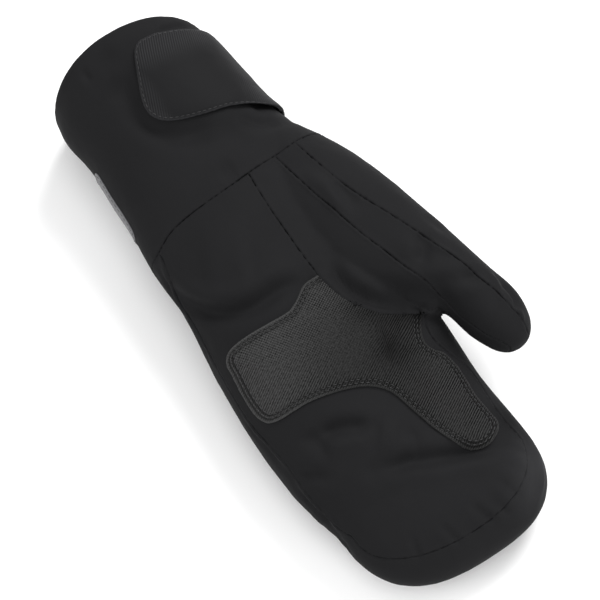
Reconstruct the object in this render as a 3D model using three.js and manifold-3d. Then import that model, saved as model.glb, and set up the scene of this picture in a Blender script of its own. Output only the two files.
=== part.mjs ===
// A waterproof overglove for the left hand: a roomy mitten with a separate thumb, lying on its back
// with the palm up. It is sewn from thin cloth panels, so its pieces are walls round one open hollow.
// Millimetres. +Z points up out of the palm, +Y runs from the cuff's mouth to the fingertips, and the
// thumb is on the -X side. At the end the whole glove is moved to stand over the middle of its box.
import * as THREE from "three";
import { mergeVertices } from "three/addons/utils/BufferGeometryUtils.js";
import Module from "manifold-3d";

const wasm = await Module();
wasm.setup();

// Cloth
const WALL = 1.6;
const HEM_WALL = 2.6;
const HEM_WIDTH = 16;
const SEAM_GAP = 0.3;
const LAYER_GAP = 0.4;
const PATCH_CLOTH = 1.4;
const STRAP_CLOTH = 2.2;
const REFLECTIVE_CLOTH = 1;

// The back of the hand is pressed flat: its round underside would reach this far below the surface.
const SAG = 4;
// The mouth of the cuff is cut in a bow, longer over the palm and under the back than at its sides.
const MOUTH_BOW = 12;
const MOUTH_BOW_FADE = 70;

// Facets round a section: more of them on the folded palm side than on the flat back.
const PALM_SIDES = 22;
const BACK_SIDES = 10;
const THUMB_SIDES = 18;
const ROW_STEP = 9.5;

// The mitten without its thumb: a row for each section across the hand.
// "thumb" and "little" are the X of its two edges, "top" the height of the palm, "mid" the height
// of the widest point, and "square" how boxy the section is (2 is an ellipse).
const MITTEN = [
  { y: 0, thumb: -40.5, little: 52, top: 79, mid: 39, square: 2.1 },
  { y: 20, thumb: -43.5, little: 53, top: 80, mid: 40, square: 2.1 },
  { y: 42, thumb: -46.3, little: 50, top: 78, mid: 38, square: 2.1 },
  { y: 64, thumb: -50, little: 49.5, top: 75, mid: 36, square: 2.15 },
  { y: 84, thumb: -57, little: 49, top: 72, mid: 34, square: 2.2 },
  { y: 110, thumb: -61, little: 50, top: 68, mid: 32, square: 2.25 },
  { y: 137, thumb: -63, little: 48, top: 65, mid: 30, square: 2.3 },
  { y: 180, thumb: -65, little: 51.2, top: 61, mid: 28, square: 2.35 },
  { y: 215, thumb: -66.3, little: 51.7, top: 58, mid: 26, square: 2.4 },
  { y: 250, thumb: -67, little: 48.8, top: 54, mid: 24, square: 2.4 },
  { y: 280, thumb: -71, little: 41, top: 50, mid: 22.5, square: 2.4 },
];
// Past its last row the mitten closes round the fingertips.
const TIP_LENGTH = 50;
const TIP_ROWS = 8;
const TIP_CORNER = 2.7;
const TIP_PROFILE = 2.2;
const TIP_MIDDLE = -19;

// The thumb: a row for each section across it. x, y, z is a point of its spine, and "outer" and
// "inner" are its reach from there to either side: at its root it spreads into the palm.
const THUMB = [
  { x: -25, y: 72, z: 34, outer: 20, inner: 20, high: 22 },
  { x: -34, y: 90, z: 36, outer: 23, inner: 27, high: 27 },
  { x: -43, y: 110, z: 38, outer: 25.5, inner: 34, high: 29 },
  { x: -53.5, y: 134, z: 41, outer: 25, inner: 38, high: 28.5 },
  { x: -62.5, y: 156, z: 44, outer: 22.5, inner: 37, high: 26 },
  { x: -73, y: 184, z: 46, outer: 18.5, inner: 27, high: 23 },
  { x: -81.5, y: 210, z: 46, outer: 17, inner: 17, high: 21 },
  { x: -87, y: 228, z: 45, outer: 16.5, inner: 16.5, high: 19.5 },
  { x: -90, y: 249.5, z: 44, outer: 16.5, inner: 16.5, high: 18 },
];
const THUMB_ROWS = 16;
const THUMB_LENGTH = 192;
const THUMB_TIP_FROM = 0.82;
const THUMB_TIP_ROUND = 2.3;
const THUMB_BOX = 2.1;

// Dents and folds pressed into the palm's side: long and wide are the reach of each, and turn is
// the angle of its long way from +X, in degrees. A negative depth is a swelling.
const FOLDS = [
  { name: "swelling over the wrist", x: 16, y: 134, turn: -8, long: 26, wide: 15, deep: -2.5 },
  { name: "crescent under the patch", x: 24, y: 159, turn: -14, long: 20, wide: 5.5, deep: 3.6 },
  { name: "first finger fold", x: 13, y: 241, turn: -24, long: 13, wide: 5.5, deep: 3.4 },
  { name: "second finger fold", x: -12, y: 276, turn: -22, long: 18, wide: 6, deep: 3.6 },
  { name: "little finger fold", x: 39, y: 249, turn: -30, long: 9, wide: 4.5, deep: 2 },
  { name: "knuckle fold by the patch", x: -45, y: 229, turn: 62, long: 12, wide: 5, deep: 2.6 },
  { name: "thumb root dent", x: -41, y: 129, turn: 108, long: 11, wide: 6, deep: 2 },
  { name: "thumb middle dent", x: -67, y: 188, turn: 118, long: 12, wide: 5.5, deep: 2.2 },
  { name: "thumb tip fold", x: -88, y: 225, turn: 66, long: 9, wide: 4.5, deep: 2 },
  { name: "wrist fold", x: 44, y: 117, turn: 80, long: 9, wide: 5, deep: 2 },
];

// Seams. The cross seam joins the cuff to the hand: a row for each place along it.
const CROSS_SEAM = [
  { x: -110, y: 95 },
  { x: -58, y: 97 },
  { x: -32, y: 100 },
  { x: 5, y: 104 },
  { x: 34, y: 106 },
  { x: 48, y: 110 },
  { x: 90, y: 113 },
];
// Three seams run from it to the thumb: "palm" along the palm's edge into the crotch, "inner" and
// "outer" up the thumb. Each is an X for each Y.
const CROTCH_Y = 211;
const THUMB_SEAMS = [
  { y: 90, palm: -15, inner: -31, outer: -44 },
  { y: 120, palm: -14.7, inner: -36, outer: -49.8 },
  { y: 140, palm: -15.5, inner: -41.3, outer: -56 },
  { y: 160, palm: -17, inner: -47.1, outer: -65 },
  { y: 176, palm: -20.3, inner: -53, outer: -72.3 },
  { y: 188, palm: -26, inner: -57.2, outer: -77 },
  { y: 198, palm: -35, inner: -61.5, outer: -81.7 },
  { y: 205, palm: -47, inner: -64.5, outer: -84.2 },
  { y: CROTCH_Y, palm: -60.5, inner: -67.2, outer: -86 },
];
const THUMB_TIP_SEAMS = [
  { y: CROTCH_Y, inner: -67.2, outer: -86 },
  { y: 226, inner: -71, outer: -90.6 },
  { y: 238, inner: -76, outer: -94 },
  { y: 248, inner: -83, outer: -95 },
  { y: 266, inner: -92, outer: -96 },
];
// The thumb's top panels end at this height, and the palm panel's side walls at the other.
const THUMB_SIDE_SEAM = 44;
const PALM_SIDE_SEAM = 26;
// The seam under the thumb runs this far inside the mitten's edge, and past the crotch outside it.
const UNDER_THUMB_INSIDE = 2.2;
const UNDER_THUMB_OUTSIDE = 1.3;

// The palm panel stops short of the mitten's edges: its own edges, an X for each Y.
const PALM_EDGES = [
  { y: 212, index: -62, little: 48 },
  { y: 230, index: -62, little: 43.5 },
  { y: 246, index: -61.5, little: 43 },
  { y: 262, index: -61, little: 41.5 },
  { y: 276, index: -61.5, little: 39 },
  { y: 288, index: -64, little: 34.5 },
];
const PALM_WRIST_LITTLE = [
  { y: 90, little: 45 },
  { y: 137, little: 45.3 },
  { y: 180, little: 48.3 },
  { y: 205, little: 48.6 },
];
const PALM_TIP = { from: 288, length: 29.5, corner: 2.2, middle: -15 };

// The palm patch's outline, from the thumb's root round the little finger's side and the forefinger.
const PATCH_OUTLINE = [
  [-18, 166], [-9, 167], [1, 173.5], [9, 175.5], [36, 174], [44, 177.5], [45.5, 188], [46.3, 203],
  [44.5, 214], [38, 219], [20, 220.5], [3, 224.5], [-9, 229.5], [-17, 237.5], [-22, 252],
  [-28, 269], [-36, 281], [-45, 284], [-53.5, 281], [-56, 273], [-54, 256], [-51.5, 234],
  [-50, 221], [-44, 210], [-38, 204], [-29, 194], [-22.5, 181],
];

// The wrist strap: the edges of its tab over the palm, a Y for each X, and its rounded free end.
const STRAP_EDGES = [
  { x: -80, upper: 74, lower: 19 },
  { x: -48, upper: 72.4, lower: 18.5 },
  { x: -30, upper: 67, lower: 15.5 },
  { x: -12, upper: 64.2, lower: 12.6 },
  { x: -2, upper: 62, lower: 12.8 },
];
const STRAP_END = [[6, 58.8], [11.5, 54], [13.8, 47.5], [12.3, 39], [8.2, 28.5], [5, 20.5], [1.8, 15.2]];
const STRAP_FOOT = 9;
// The strap bows away from the cuff where it turns over the thumb's side.
const STRAP_BOW = { angle: 158, reach: 24, y: 66, fade: 26, height: 2.6 };

// The reflective panel on the little finger's side of the cuff: its edges, a Z for each Y.
const REFLECTIVE_PANEL = { from: 50, to: 91, topAtWrist: 42, topAtMouth: 48, bottom: 12, corner: 5 };

const clamp = THREE.MathUtils.clamp;
const range = (count) => Array.from({ length: count }, (_, i) => i);
const power = (value, exponent) => Math.sign(value) * Math.abs(value) ** exponent;
const closing = (past, exponent) => (1 - past ** exponent) ** (1 / exponent);

// A smooth curve through a table's rows: the value of one column where the column "along" is "at".
function smoothAt(rows, along, column, at) {
  const last = rows.length - 1;
  let i = 0;
  while (i < last - 1 && at > rows[i + 1][along]) i += 1;
  const slope = (k) => {
    const before = rows[Math.max(k - 1, 0)];
    const after = rows[Math.min(k + 1, last)];
    return (after[column] - before[column]) / (after[along] - before[along]);
  };
  const span = rows[i + 1][along] - rows[i][along];
  const rise = rows[i + 1][column] - rows[i][column];
  const start = slope(i) * span;
  const end = slope(i + 1) * span;
  const t = clamp((at - rows[i][along]) / span, 0, 1);
  const bend = t * t * (3 * rise - 2 * start - end) + t ** 3 * (start + end - 2 * rise);
  return rows[i][column] + t * start + bend;
}

// How far the folds press the palm's side down at a place in plan.
function foldDepth(x, y) {
  return FOLDS.reduce((sum, fold) => {
    const turn = THREE.MathUtils.degToRad(fold.turn);
    const along = (x - fold.x) * Math.cos(turn) + (y - fold.y) * Math.sin(turn);
    const over = (y - fold.y) * Math.cos(turn) - (x - fold.x) * Math.sin(turn);
    return sum + fold.deep * Math.exp(-((along / fold.long) ** 2) - (over / fold.wide) ** 2);
  }, 0);
}

// The mitten's section at a station along it. Past the last row it shrinks round the fingertips.
function mittenSection(y, inset) {
  const end = MITTEN.at(-1).y;
  const column = (name) => smoothAt(MITTEN, "y", name, Math.min(y, end));
  const past = clamp((y - end) / (TIP_LENGTH - inset), 0, 1);
  return {
    middle: THREE.MathUtils.lerp((column("thumb") + column("little")) / 2, TIP_MIDDLE, past),
    half: ((column("little") - column("thumb")) / 2) * closing(past, TIP_CORNER) - inset,
    above: (column("top") - column("mid")) * closing(past, TIP_PROFILE) - inset,
    below: (column("mid") + SAG) * closing(past, TIP_PROFILE) - inset,
    mid: column("mid") - 2 * past,
    square: column("square"),
  };
}

// A point of the mitten's surface, drawn in by an inset. The angle runs from the little finger's
// side (0) over the palm (90 degrees) to the thumb's side (180) and under the back.
function mittenPoint(y, angle, inset) {
  const section = mittenSection(y, inset);
  const across = power(Math.cos(angle), 2 / section.square);
  const up = power(Math.sin(angle), 2 / section.square);
  const x = section.middle + Math.max(section.half, 0.2) * across;
  const reach = Math.max(up > 0 ? section.above : section.below, 0.2);
  const z = section.mid + reach * up - foldDepth(x, y) * Math.max(up, 0);
  const bow = MOUTH_BOW * clamp(1 - y / MOUTH_BOW_FADE, 0, 2) ** 2;
  return new THREE.Vector3(x, y + bow * (1 - Math.abs(up) ** 1.5), Math.max(z, inset));
}

// A closed tube through rings of points, with a flat fan at its start and its end.
function loft(rings) {
  const sides = rings[0].length;
  const middle = (ring) => ring.reduce((sum, p) => sum.add(p), new THREE.Vector3()).divideScalar(sides);
  const points = [...rings.flat(), middle(rings[0]), middle(rings.at(-1))];
  const foot = rings.length * sides;
  const end = foot - sides;
  const index = [];
  for (let j = 0; j < sides; j += 1) {
    const next = (j + 1) % sides;
    for (let row = 0; row < end; row += sides) {
      const ahead = row + sides;
      index.push(row + j, ahead + j, row + next, row + next, ahead + j, ahead + next);
    }
    index.push(foot, j, next, foot + 1, end + next, end + j);
  }
  const geometry = new THREE.BufferGeometry().setFromPoints(points);
  geometry.setIndex(index);
  return geometry;
}

function solid(geometry) {
  const bare = geometry.clone();
  bare.deleteAttribute("normal");
  bare.deleteAttribute("uv");
  const merged = mergeVertices(bare, 1e-3);
  return new wasm.Manifold(
    new wasm.Mesh({
      numProp: 3,
      vertProperties: merged.attributes.position.array,
      triVerts: new Uint32Array(merged.index.array),
    }),
  );
}

const arc = (sides, start) => range(sides).map((j) => start + (j / sides) * Math.PI);
const MITTEN_ANGLES = [...arc(PALM_SIDES, 0), ...arc(BACK_SIDES, Math.PI)];
const THUMB_ANGLES = [...arc(THUMB_SIDES / 2, 0), ...arc(THUMB_SIDES / 2, Math.PI)];

// The stations of the mitten's rings: even steps, then closer ones round the fingertips.
function mittenStations(firstY, inset) {
  const end = MITTEN.at(-1).y;
  const steps = Math.round((end - firstY) / ROW_STEP);
  const straight = range(steps + 1).map((i) => firstY + ((end - firstY) * i) / steps);
  const closingTurns = range(TIP_ROWS).map((i) => ((i + 1) / (TIP_ROWS + 0.4)) * (Math.PI / 2));
  return [...straight, ...closingTurns.map((turn) => end + (TIP_LENGTH - inset) * Math.sin(turn))];
}

// The mitten as one solid, drawn in by an inset that may change along and round it.
function mittenSolid(firstY, inset) {
  const rings = mittenStations(firstY, inset(Infinity, 0)).map((y) =>
    MITTEN_ANGLES.map((angle) => mittenPoint(y, angle, inset(y, angle))),
  );
  return solid(loft(rings));
}

// A ring of the thumb, square to its spine. Near its tip the section shrinks.
function thumbRing(at, inset) {
  const rows = THUMB.map((row, i) => ({ ...row, at: i / (THUMB.length - 1) }));
  const reach = at * (1 - inset / THUMB_LENGTH);
  const value = (column, t) => smoothAt(rows, "at", column, t);
  const spine = (t) => new THREE.Vector3(value("x", t), value("y", t), value("z", t));
  const ahead = spine(Math.min(at + 0.01, 1)).sub(spine(Math.max(at - 0.01, 0))).normalize();
  const side = ahead.clone().cross(new THREE.Vector3(0, 0, 1)).normalize();
  const up = side.clone().cross(ahead);
  const shrink = closing(clamp((at - THUMB_TIP_FROM) / (1 - THUMB_TIP_FROM), 0, 1), THUMB_TIP_ROUND);
  const outer = Math.max(value("outer", at) * shrink - inset, 0.2);
  const inner = Math.max(value("inner", at) * shrink - inset, 0.2);
  const high = Math.max(value("high", at) * shrink - inset, 0.2);
  return THUMB_ANGLES.map((angle) => {
    const lift = power(Math.sin(angle), 2 / THUMB_BOX);
    const across = power(Math.cos(angle), 2 / THUMB_BOX);
    const point = spine(reach);
    point.addScaledVector(side, across * (across > 0 ? inner : outer));
    point.addScaledVector(up, high * lift);
    point.z -= foldDepth(point.x, point.y) * Math.max(lift, 0);
    return point;
  });
}

function thumbSolid(inset) {
  const tipStart = 0.7;
  const stations = range(THUMB_ROWS + 1).map((i) => {
    const past = clamp((i / THUMB_ROWS - tipStart) / (1 - tipStart), 0, 1);
    return past === 0 ? i / THUMB_ROWS : tipStart + (1 - tipStart) * Math.sin(past * 1.52);
  });
  return solid(loft(stations.map((at) => thumbRing(at, inset))));
}

// Smooth stretches of outlines, as lists of Vector2.
const alongY = (rows, column, from, to, count) =>
  range(count + 1).map((i) => {
    const y = THREE.MathUtils.lerp(from, to, i / count);
    return new THREE.Vector2(smoothAt(rows, "y", column, y), y);
  });
const alongX = (rows, column, from, to, count) =>
  range(count + 1).map((i) => {
    const x = THREE.MathUtils.lerp(from, to, i / count);
    return new THREE.Vector2(x, smoothAt(rows, "x", column, x));
  });
const corners = (...points) => points.map(([x, y]) => new THREE.Vector2(x, y));

// An outline moved outwards by a distance, or inwards by a negative one.
function offset(outline, distance) {
  const turn = THREE.ShapeUtils.isClockWise(outline) ? -1 : 1;
  return outline.map((point, i) => {
    const before = outline.at(i - 1);
    const after = outline[(i + 1) % outline.length];
    const ahead = after.clone().sub(before).normalize();
    return new THREE.Vector2(ahead.y, -ahead.x).multiplyScalar(turn * distance).add(point);
  });
}

// An upright block between two heights, with an outline in plan.
function block(outline, bottom, top) {
  const geometry = new THREE.ExtrudeGeometry(new THREE.Shape(outline), {
    depth: top - bottom,
    bevelEnabled: false,
    steps: 1,
  });
  return solid(geometry.translate(0, 0, bottom));
}

const outside = mittenSolid(0, () => 0).add(thumbSolid(0));
const lining = (y) => (y < HEM_WIDTH ? HEM_WALL : WALL);
const hollow = mittenSolid(-24, lining).add(thumbSolid(WALL));

const BELOW = -10;
const ABOVE = 110;
const LEFT = -130;
const RIGHT = 90;
const PAST_THUMB = 275;

function cuffOutline() {
  const seam = alongX(CROSS_SEAM, "y", CROSS_SEAM[0].x, CROSS_SEAM.at(-1).x, 22);
  return [...seam, ...corners([RIGHT, -60], [LEFT, -60], [LEFT, CROSS_SEAM[0].y])];
}

function palmOutline() {
  const { from, length, corner, middle } = PALM_TIP;
  const index = PALM_EDGES.at(-1).index;
  const little = PALM_EDGES.at(-1).little;
  const tip = range(13).map((i) => {
    const turn = ((i + 1) / 14) * Math.PI;
    const across = power(Math.cos(turn), 2 / corner);
    const half = across > 0 ? little - middle : middle - index;
    return new THREE.Vector2(middle + half * across, from + length * Math.sin(turn) ** (2 / corner));
  });
  return [
    ...alongY([...PALM_WRIST_LITTLE, ...PALM_EDGES], "little", 92, from, 18),
    ...tip,
    ...alongY(PALM_EDGES, "index", from, PALM_EDGES[0].y, 6),
    ...alongY(THUMB_SEAMS, "palm", CROTCH_Y - 1, 92, 14),
  ];
}

function thumbInnerOutline() {
  return [
    ...alongY(THUMB_SEAMS, "palm", 92, CROTCH_Y, 14),
    ...corners([-62.2, 216], [-62.6, 226], [-65, 238], [-68, PAST_THUMB]),
    ...alongY(THUMB_TIP_SEAMS, "inner", 266, CROTCH_Y, 6),
    ...alongY(THUMB_SEAMS, "inner", CROTCH_Y - 6, 92, 9),
  ];
}

function thumbMiddleOutline() {
  return [
    ...alongY(THUMB_SEAMS, "inner", 92, CROTCH_Y - 6, 9),
    ...alongY(THUMB_TIP_SEAMS, "inner", CROTCH_Y, 266, 6),
    ...alongY(THUMB_TIP_SEAMS, "outer", 266, CROTCH_Y, 6),
    ...alongY(THUMB_SEAMS, "outer", CROTCH_Y - 6, 92, 9),
  ];
}

function thumbBackOutline() {
  return [
    ...alongY(THUMB_SEAMS, "outer", 92, CROTCH_Y - 6, 9),
    ...alongY(THUMB_TIP_SEAMS, "outer", CROTCH_Y, 266, 6),
    ...corners([LEFT, 266], [LEFT, 92]),
  ];
}

function thumbUnderOutline() {
  const beside = (from, to, count, distance) =>
    alongY(MITTEN, "thumb", from, to, count).map((point) => point.setX(point.x + distance));
  return [
    ...beside(88, 200, 10, UNDER_THUMB_INSIDE),
    ...beside(212, PAST_THUMB, 4, -UNDER_THUMB_OUTSIDE),
    ...corners([LEFT, PAST_THUMB], [LEFT, 88]),
  ];
}

// Cuts a panel out of the shell along its seams and leaves the seams' gap round it. A panel lies
// in one upright block or more, each with an outline in plan, a bottom and a top.
let shell = outside.subtract(hollow);
function cutPanel(...parts) {
  const blocks = (gap) =>
    parts
      .map(({ outline, bottom, top }) => block(offset(outline, gap), bottom - gap, top + gap))
      .reduce((all, part) => all.add(part));
  const panel = shell.intersect(blocks(-SEAM_GAP / 2));
  shell = shell.subtract(blocks(SEAM_GAP / 2));
  return panel;
}

// A layer of cloth lying on the mitten, as thick as its cloth, at a distance from it.
function layer(distance, cloth) {
  const outer = (y, angle) => -distance(y, angle) - cloth;
  const inner = (y, angle) => -distance(y, angle);
  return mittenSolid(-30, outer).subtract(mittenSolid(-36, inner));
}

function palmPatch() {
  const outline = new THREE.CatmullRomCurve3(
    PATCH_OUTLINE.map(([x, y]) => new THREE.Vector3(x, y, 0)),
    true,
    "centripetal",
  )
    .getPoints(54)
    .slice(0, -1)
    .map((point) => new THREE.Vector2(point.x, point.y));
  return layer(() => LAYER_GAP, PATCH_CLOTH)
    .intersect(block(outline, PALM_SIDE_SEAM + 4, ABOVE))
    .subtract(thumbSolid(-LAYER_GAP));
}

function wristStrap() {
  const end = new THREE.SplineCurve(
    corners([-2, STRAP_EDGES.at(-1).upper], ...STRAP_END, [-2, STRAP_EDGES.at(-1).lower]),
  ).getPoints(20);
  const outline = [
    ...alongX(STRAP_EDGES, "upper", -80, -2, 12).slice(0, -1),
    ...end,
    ...alongX(STRAP_EDGES, "lower", -2, -80, 12).slice(1),
  ];
  const bow = (y, angle) => {
    const turn = (THREE.MathUtils.radToDeg(angle) - STRAP_BOW.angle) / STRAP_BOW.reach;
    const along = (y - STRAP_BOW.y) / STRAP_BOW.fade;
    return LAYER_GAP + STRAP_BOW.height * Math.exp(-turn * turn - along * along);
  };
  return layer(bow, STRAP_CLOTH).intersect(block(outline, STRAP_FOOT, ABOVE));
}

function reflectivePanel() {
  const { from, to, topAtWrist, topAtMouth, bottom, corner } = REFLECTIVE_PANEL;
  const outline = corners(
    [from, bottom + corner],
    [from + corner, bottom],
    [to - corner, bottom],
    [to, bottom + corner],
    [to, topAtWrist - corner],
    [to - corner, topAtWrist],
    [from + corner, topAtMouth],
    [from, topAtMouth - corner],
  );
  const side = new THREE.ExtrudeGeometry(new THREE.Shape(outline), { depth: 60, bevelEnabled: false });
  side.applyMatrix4(new THREE.Matrix4().makeBasis(
    new THREE.Vector3(0, 1, 0),
    new THREE.Vector3(0, 0, 1),
    new THREE.Vector3(1, 0, 0),
  ));
  return layer(() => LAYER_GAP, REFLECTIVE_CLOTH).intersect(solid(side.translate(20, 0, 0)));
}

const fabric = (color, roughness) => new THREE.MeshStandardMaterial({ color, roughness, metalness: 0 });
const shellCloth = fabric(0x242527, 0.85);
const patchCloth = fabric(0x3a3b3c, 0.9);
const strapCloth = fabric(0x2a2b2d, 0.8);
const reflectiveCloth = fabric(0x8a8c8e, 0.4);

const glove = new THREE.Group();
function sew(name, manifold, material) {
  const made = manifold.getMesh();
  const geometry = new THREE.BufferGeometry();
  geometry.setAttribute("position", new THREE.BufferAttribute(made.vertProperties, 3));
  geometry.setIndex(new THREE.BufferAttribute(made.triVerts, 1));
  geometry.computeVertexNormals();
  const piece = new THREE.Mesh(geometry, material);
  piece.name = name;
  glove.add(piece);
}

const topPanel = (outline, bottom) => cutPanel({ outline, bottom, top: ABOVE });
const thumbBack = [
  { outline: thumbBackOutline(), bottom: THUMB_SIDE_SEAM - 6, top: ABOVE },
  { outline: thumbUnderOutline(), bottom: BELOW, top: THUMB_SIDE_SEAM },
];
sew("cuff", topPanel(cuffOutline(), BELOW), shellCloth);
sew("palm_panel", topPanel(palmOutline(), PALM_SIDE_SEAM), shellCloth);
sew("thumb_inner_panel", topPanel(thumbInnerOutline(), THUMB_SIDE_SEAM), shellCloth);
sew("thumb_middle_panel", topPanel(thumbMiddleOutline(), THUMB_SIDE_SEAM), shellCloth);
sew("thumb_back_panel", cutPanel(...thumbBack), shellCloth);
sew("back_panel", shell, shellCloth);
sew("palm_patch", palmPatch(), patchCloth);
sew("wrist_strap", wristStrap(), strapCloth);
sew("reflective_panel", reflectivePanel(), reflectiveCloth);

const box = new THREE.Box3().setFromObject(glove);
const middle = box.getCenter(new THREE.Vector3());
glove.position.set(-middle.x, -middle.y, -box.min.z);

export default glove;
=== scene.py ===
"""A waterproof overglove in cloth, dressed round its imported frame.

The glove lies on its back with the palm up. Shapes are worked out in the hand's own millimetres: +Z out
of the palm, +Y from the cuff's mouth to the fingertips, the thumb on the -X side. Finished pieces are in
metres in the frame, where the glove stands over the middle of its box.
"""

import math

import bmesh
import bpy
import numpy as np
from bpy.props import FloatProperty, FloatVectorProperty, IntProperty, PointerProperty
from mathutils import Matrix, Vector, noise
from mathutils.bvhtree import BVHTree
from mathutils.kdtree import KDTree


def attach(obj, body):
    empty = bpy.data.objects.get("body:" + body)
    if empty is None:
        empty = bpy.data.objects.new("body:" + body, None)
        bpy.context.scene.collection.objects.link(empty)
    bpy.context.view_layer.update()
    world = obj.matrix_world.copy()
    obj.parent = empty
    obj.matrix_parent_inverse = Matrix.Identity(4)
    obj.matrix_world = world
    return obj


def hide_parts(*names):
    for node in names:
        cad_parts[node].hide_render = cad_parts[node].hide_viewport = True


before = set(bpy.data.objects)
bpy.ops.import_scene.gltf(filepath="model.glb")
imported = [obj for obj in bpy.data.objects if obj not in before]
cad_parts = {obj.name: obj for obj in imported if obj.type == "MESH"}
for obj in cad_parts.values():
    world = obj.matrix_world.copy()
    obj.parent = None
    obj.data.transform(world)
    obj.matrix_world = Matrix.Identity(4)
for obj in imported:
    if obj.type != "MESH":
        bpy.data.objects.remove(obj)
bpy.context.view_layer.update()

bl_info = {
    "name": "Waterproof overglove",
    "version": (1, 0, 0),
    "blender": (4, 5, 0),
    "location": "View3D > Sidebar > Overglove",
    "description": "Makes a cloth overglove round its packed frame",
    "category": "Object",
}

BODY = "root"
MM = 0.001
# From the hand's millimetres to the frame's: the frame is centred on the glove's box.
HAND_TO_FRAME = np.array([24.664, -164.930, 0.0])


# ---- Sizes of the glove ------------------------------------------------------------------------


def table(names, *rows):
    """Rows of numbers under named columns."""
    return dict(zip(names.split(), np.array(rows, float).T))


# The mitten without its thumb: a row for each section across the hand. "thumb" and "little" are the
# X of its edges, "top" the palm's height, "mid" that of its widest point, "square" how boxy it is.
MITTEN = table(
    "y thumb little top mid square",
    (0, -40.5, 52, 79, 39, 2.1),
    (20, -43.5, 53, 80, 40, 2.1),
    (42, -46.3, 50, 78, 38, 2.1),
    (64, -50, 49.5, 75, 36, 2.15),
    (84, -57, 49, 72, 34, 2.2),
    (110, -61, 50, 68, 32, 2.25),
    (137, -63, 48, 65, 30, 2.3),
    (180, -65, 51.2, 61, 28, 2.35),
    (215, -66.3, 51.7, 58, 26, 2.4),
    (250, -67, 48.8, 54, 24, 2.4),
    (280, -71, 41, 50, 22.5, 2.4),
)
TIP_LENGTH = 50
TIP_CORNER = 2.7
TIP_PROFILE = 2.2
TIP_MIDDLE = -19
SAG = 4
FLOOR_ROUND = 2.5
MOUTH_BOW = 12
MOUTH_BOW_FADE = 70
MOUTH_MID = 39
MOUTH_REACH = 41
MOUTH_ROLL = 1.4
# A form's half width where it closes at its tip.
THINNEST = 0.2

# How the mitten's and the thumb's forms are rolled up: faces round and along, the share of their length
# that is straight, and how far round the tip turns, just short of a quarter turn.
MITTEN_FORM = {"faces": (96, 150), "start": -14, "straight": 0.82, "turn": 1.56}
THUMB_FORM = {"faces": (72, 90), "straight": 0.7, "tip": 0.3, "turn": 1.55}

# The thumb: a row for each section across its spine, with its reach to either side and its height.
THUMB = table(
    "x y z outer inner high",
    (-25, 72, 34, 20, 20, 22),
    (-34, 90, 36, 23, 27, 27),
    (-43, 110, 38, 25.5, 34, 29),
    (-53.5, 134, 41, 25, 38, 28.5),
    (-62.5, 156, 44, 22.5, 37, 26),
    (-73, 184, 46, 18.5, 27, 23),
    (-81.5, 210, 46, 17, 17, 21),
    (-87, 228, 45, 16.5, 16.5, 19.5),
    (-90, 249.5, 44, 16.5, 16.5, 18),
)
THUMB_TIP_FROM = 0.82
THUMB_TIP_ROUND = 2.3
THUMB_BOX = 2.1

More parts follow.
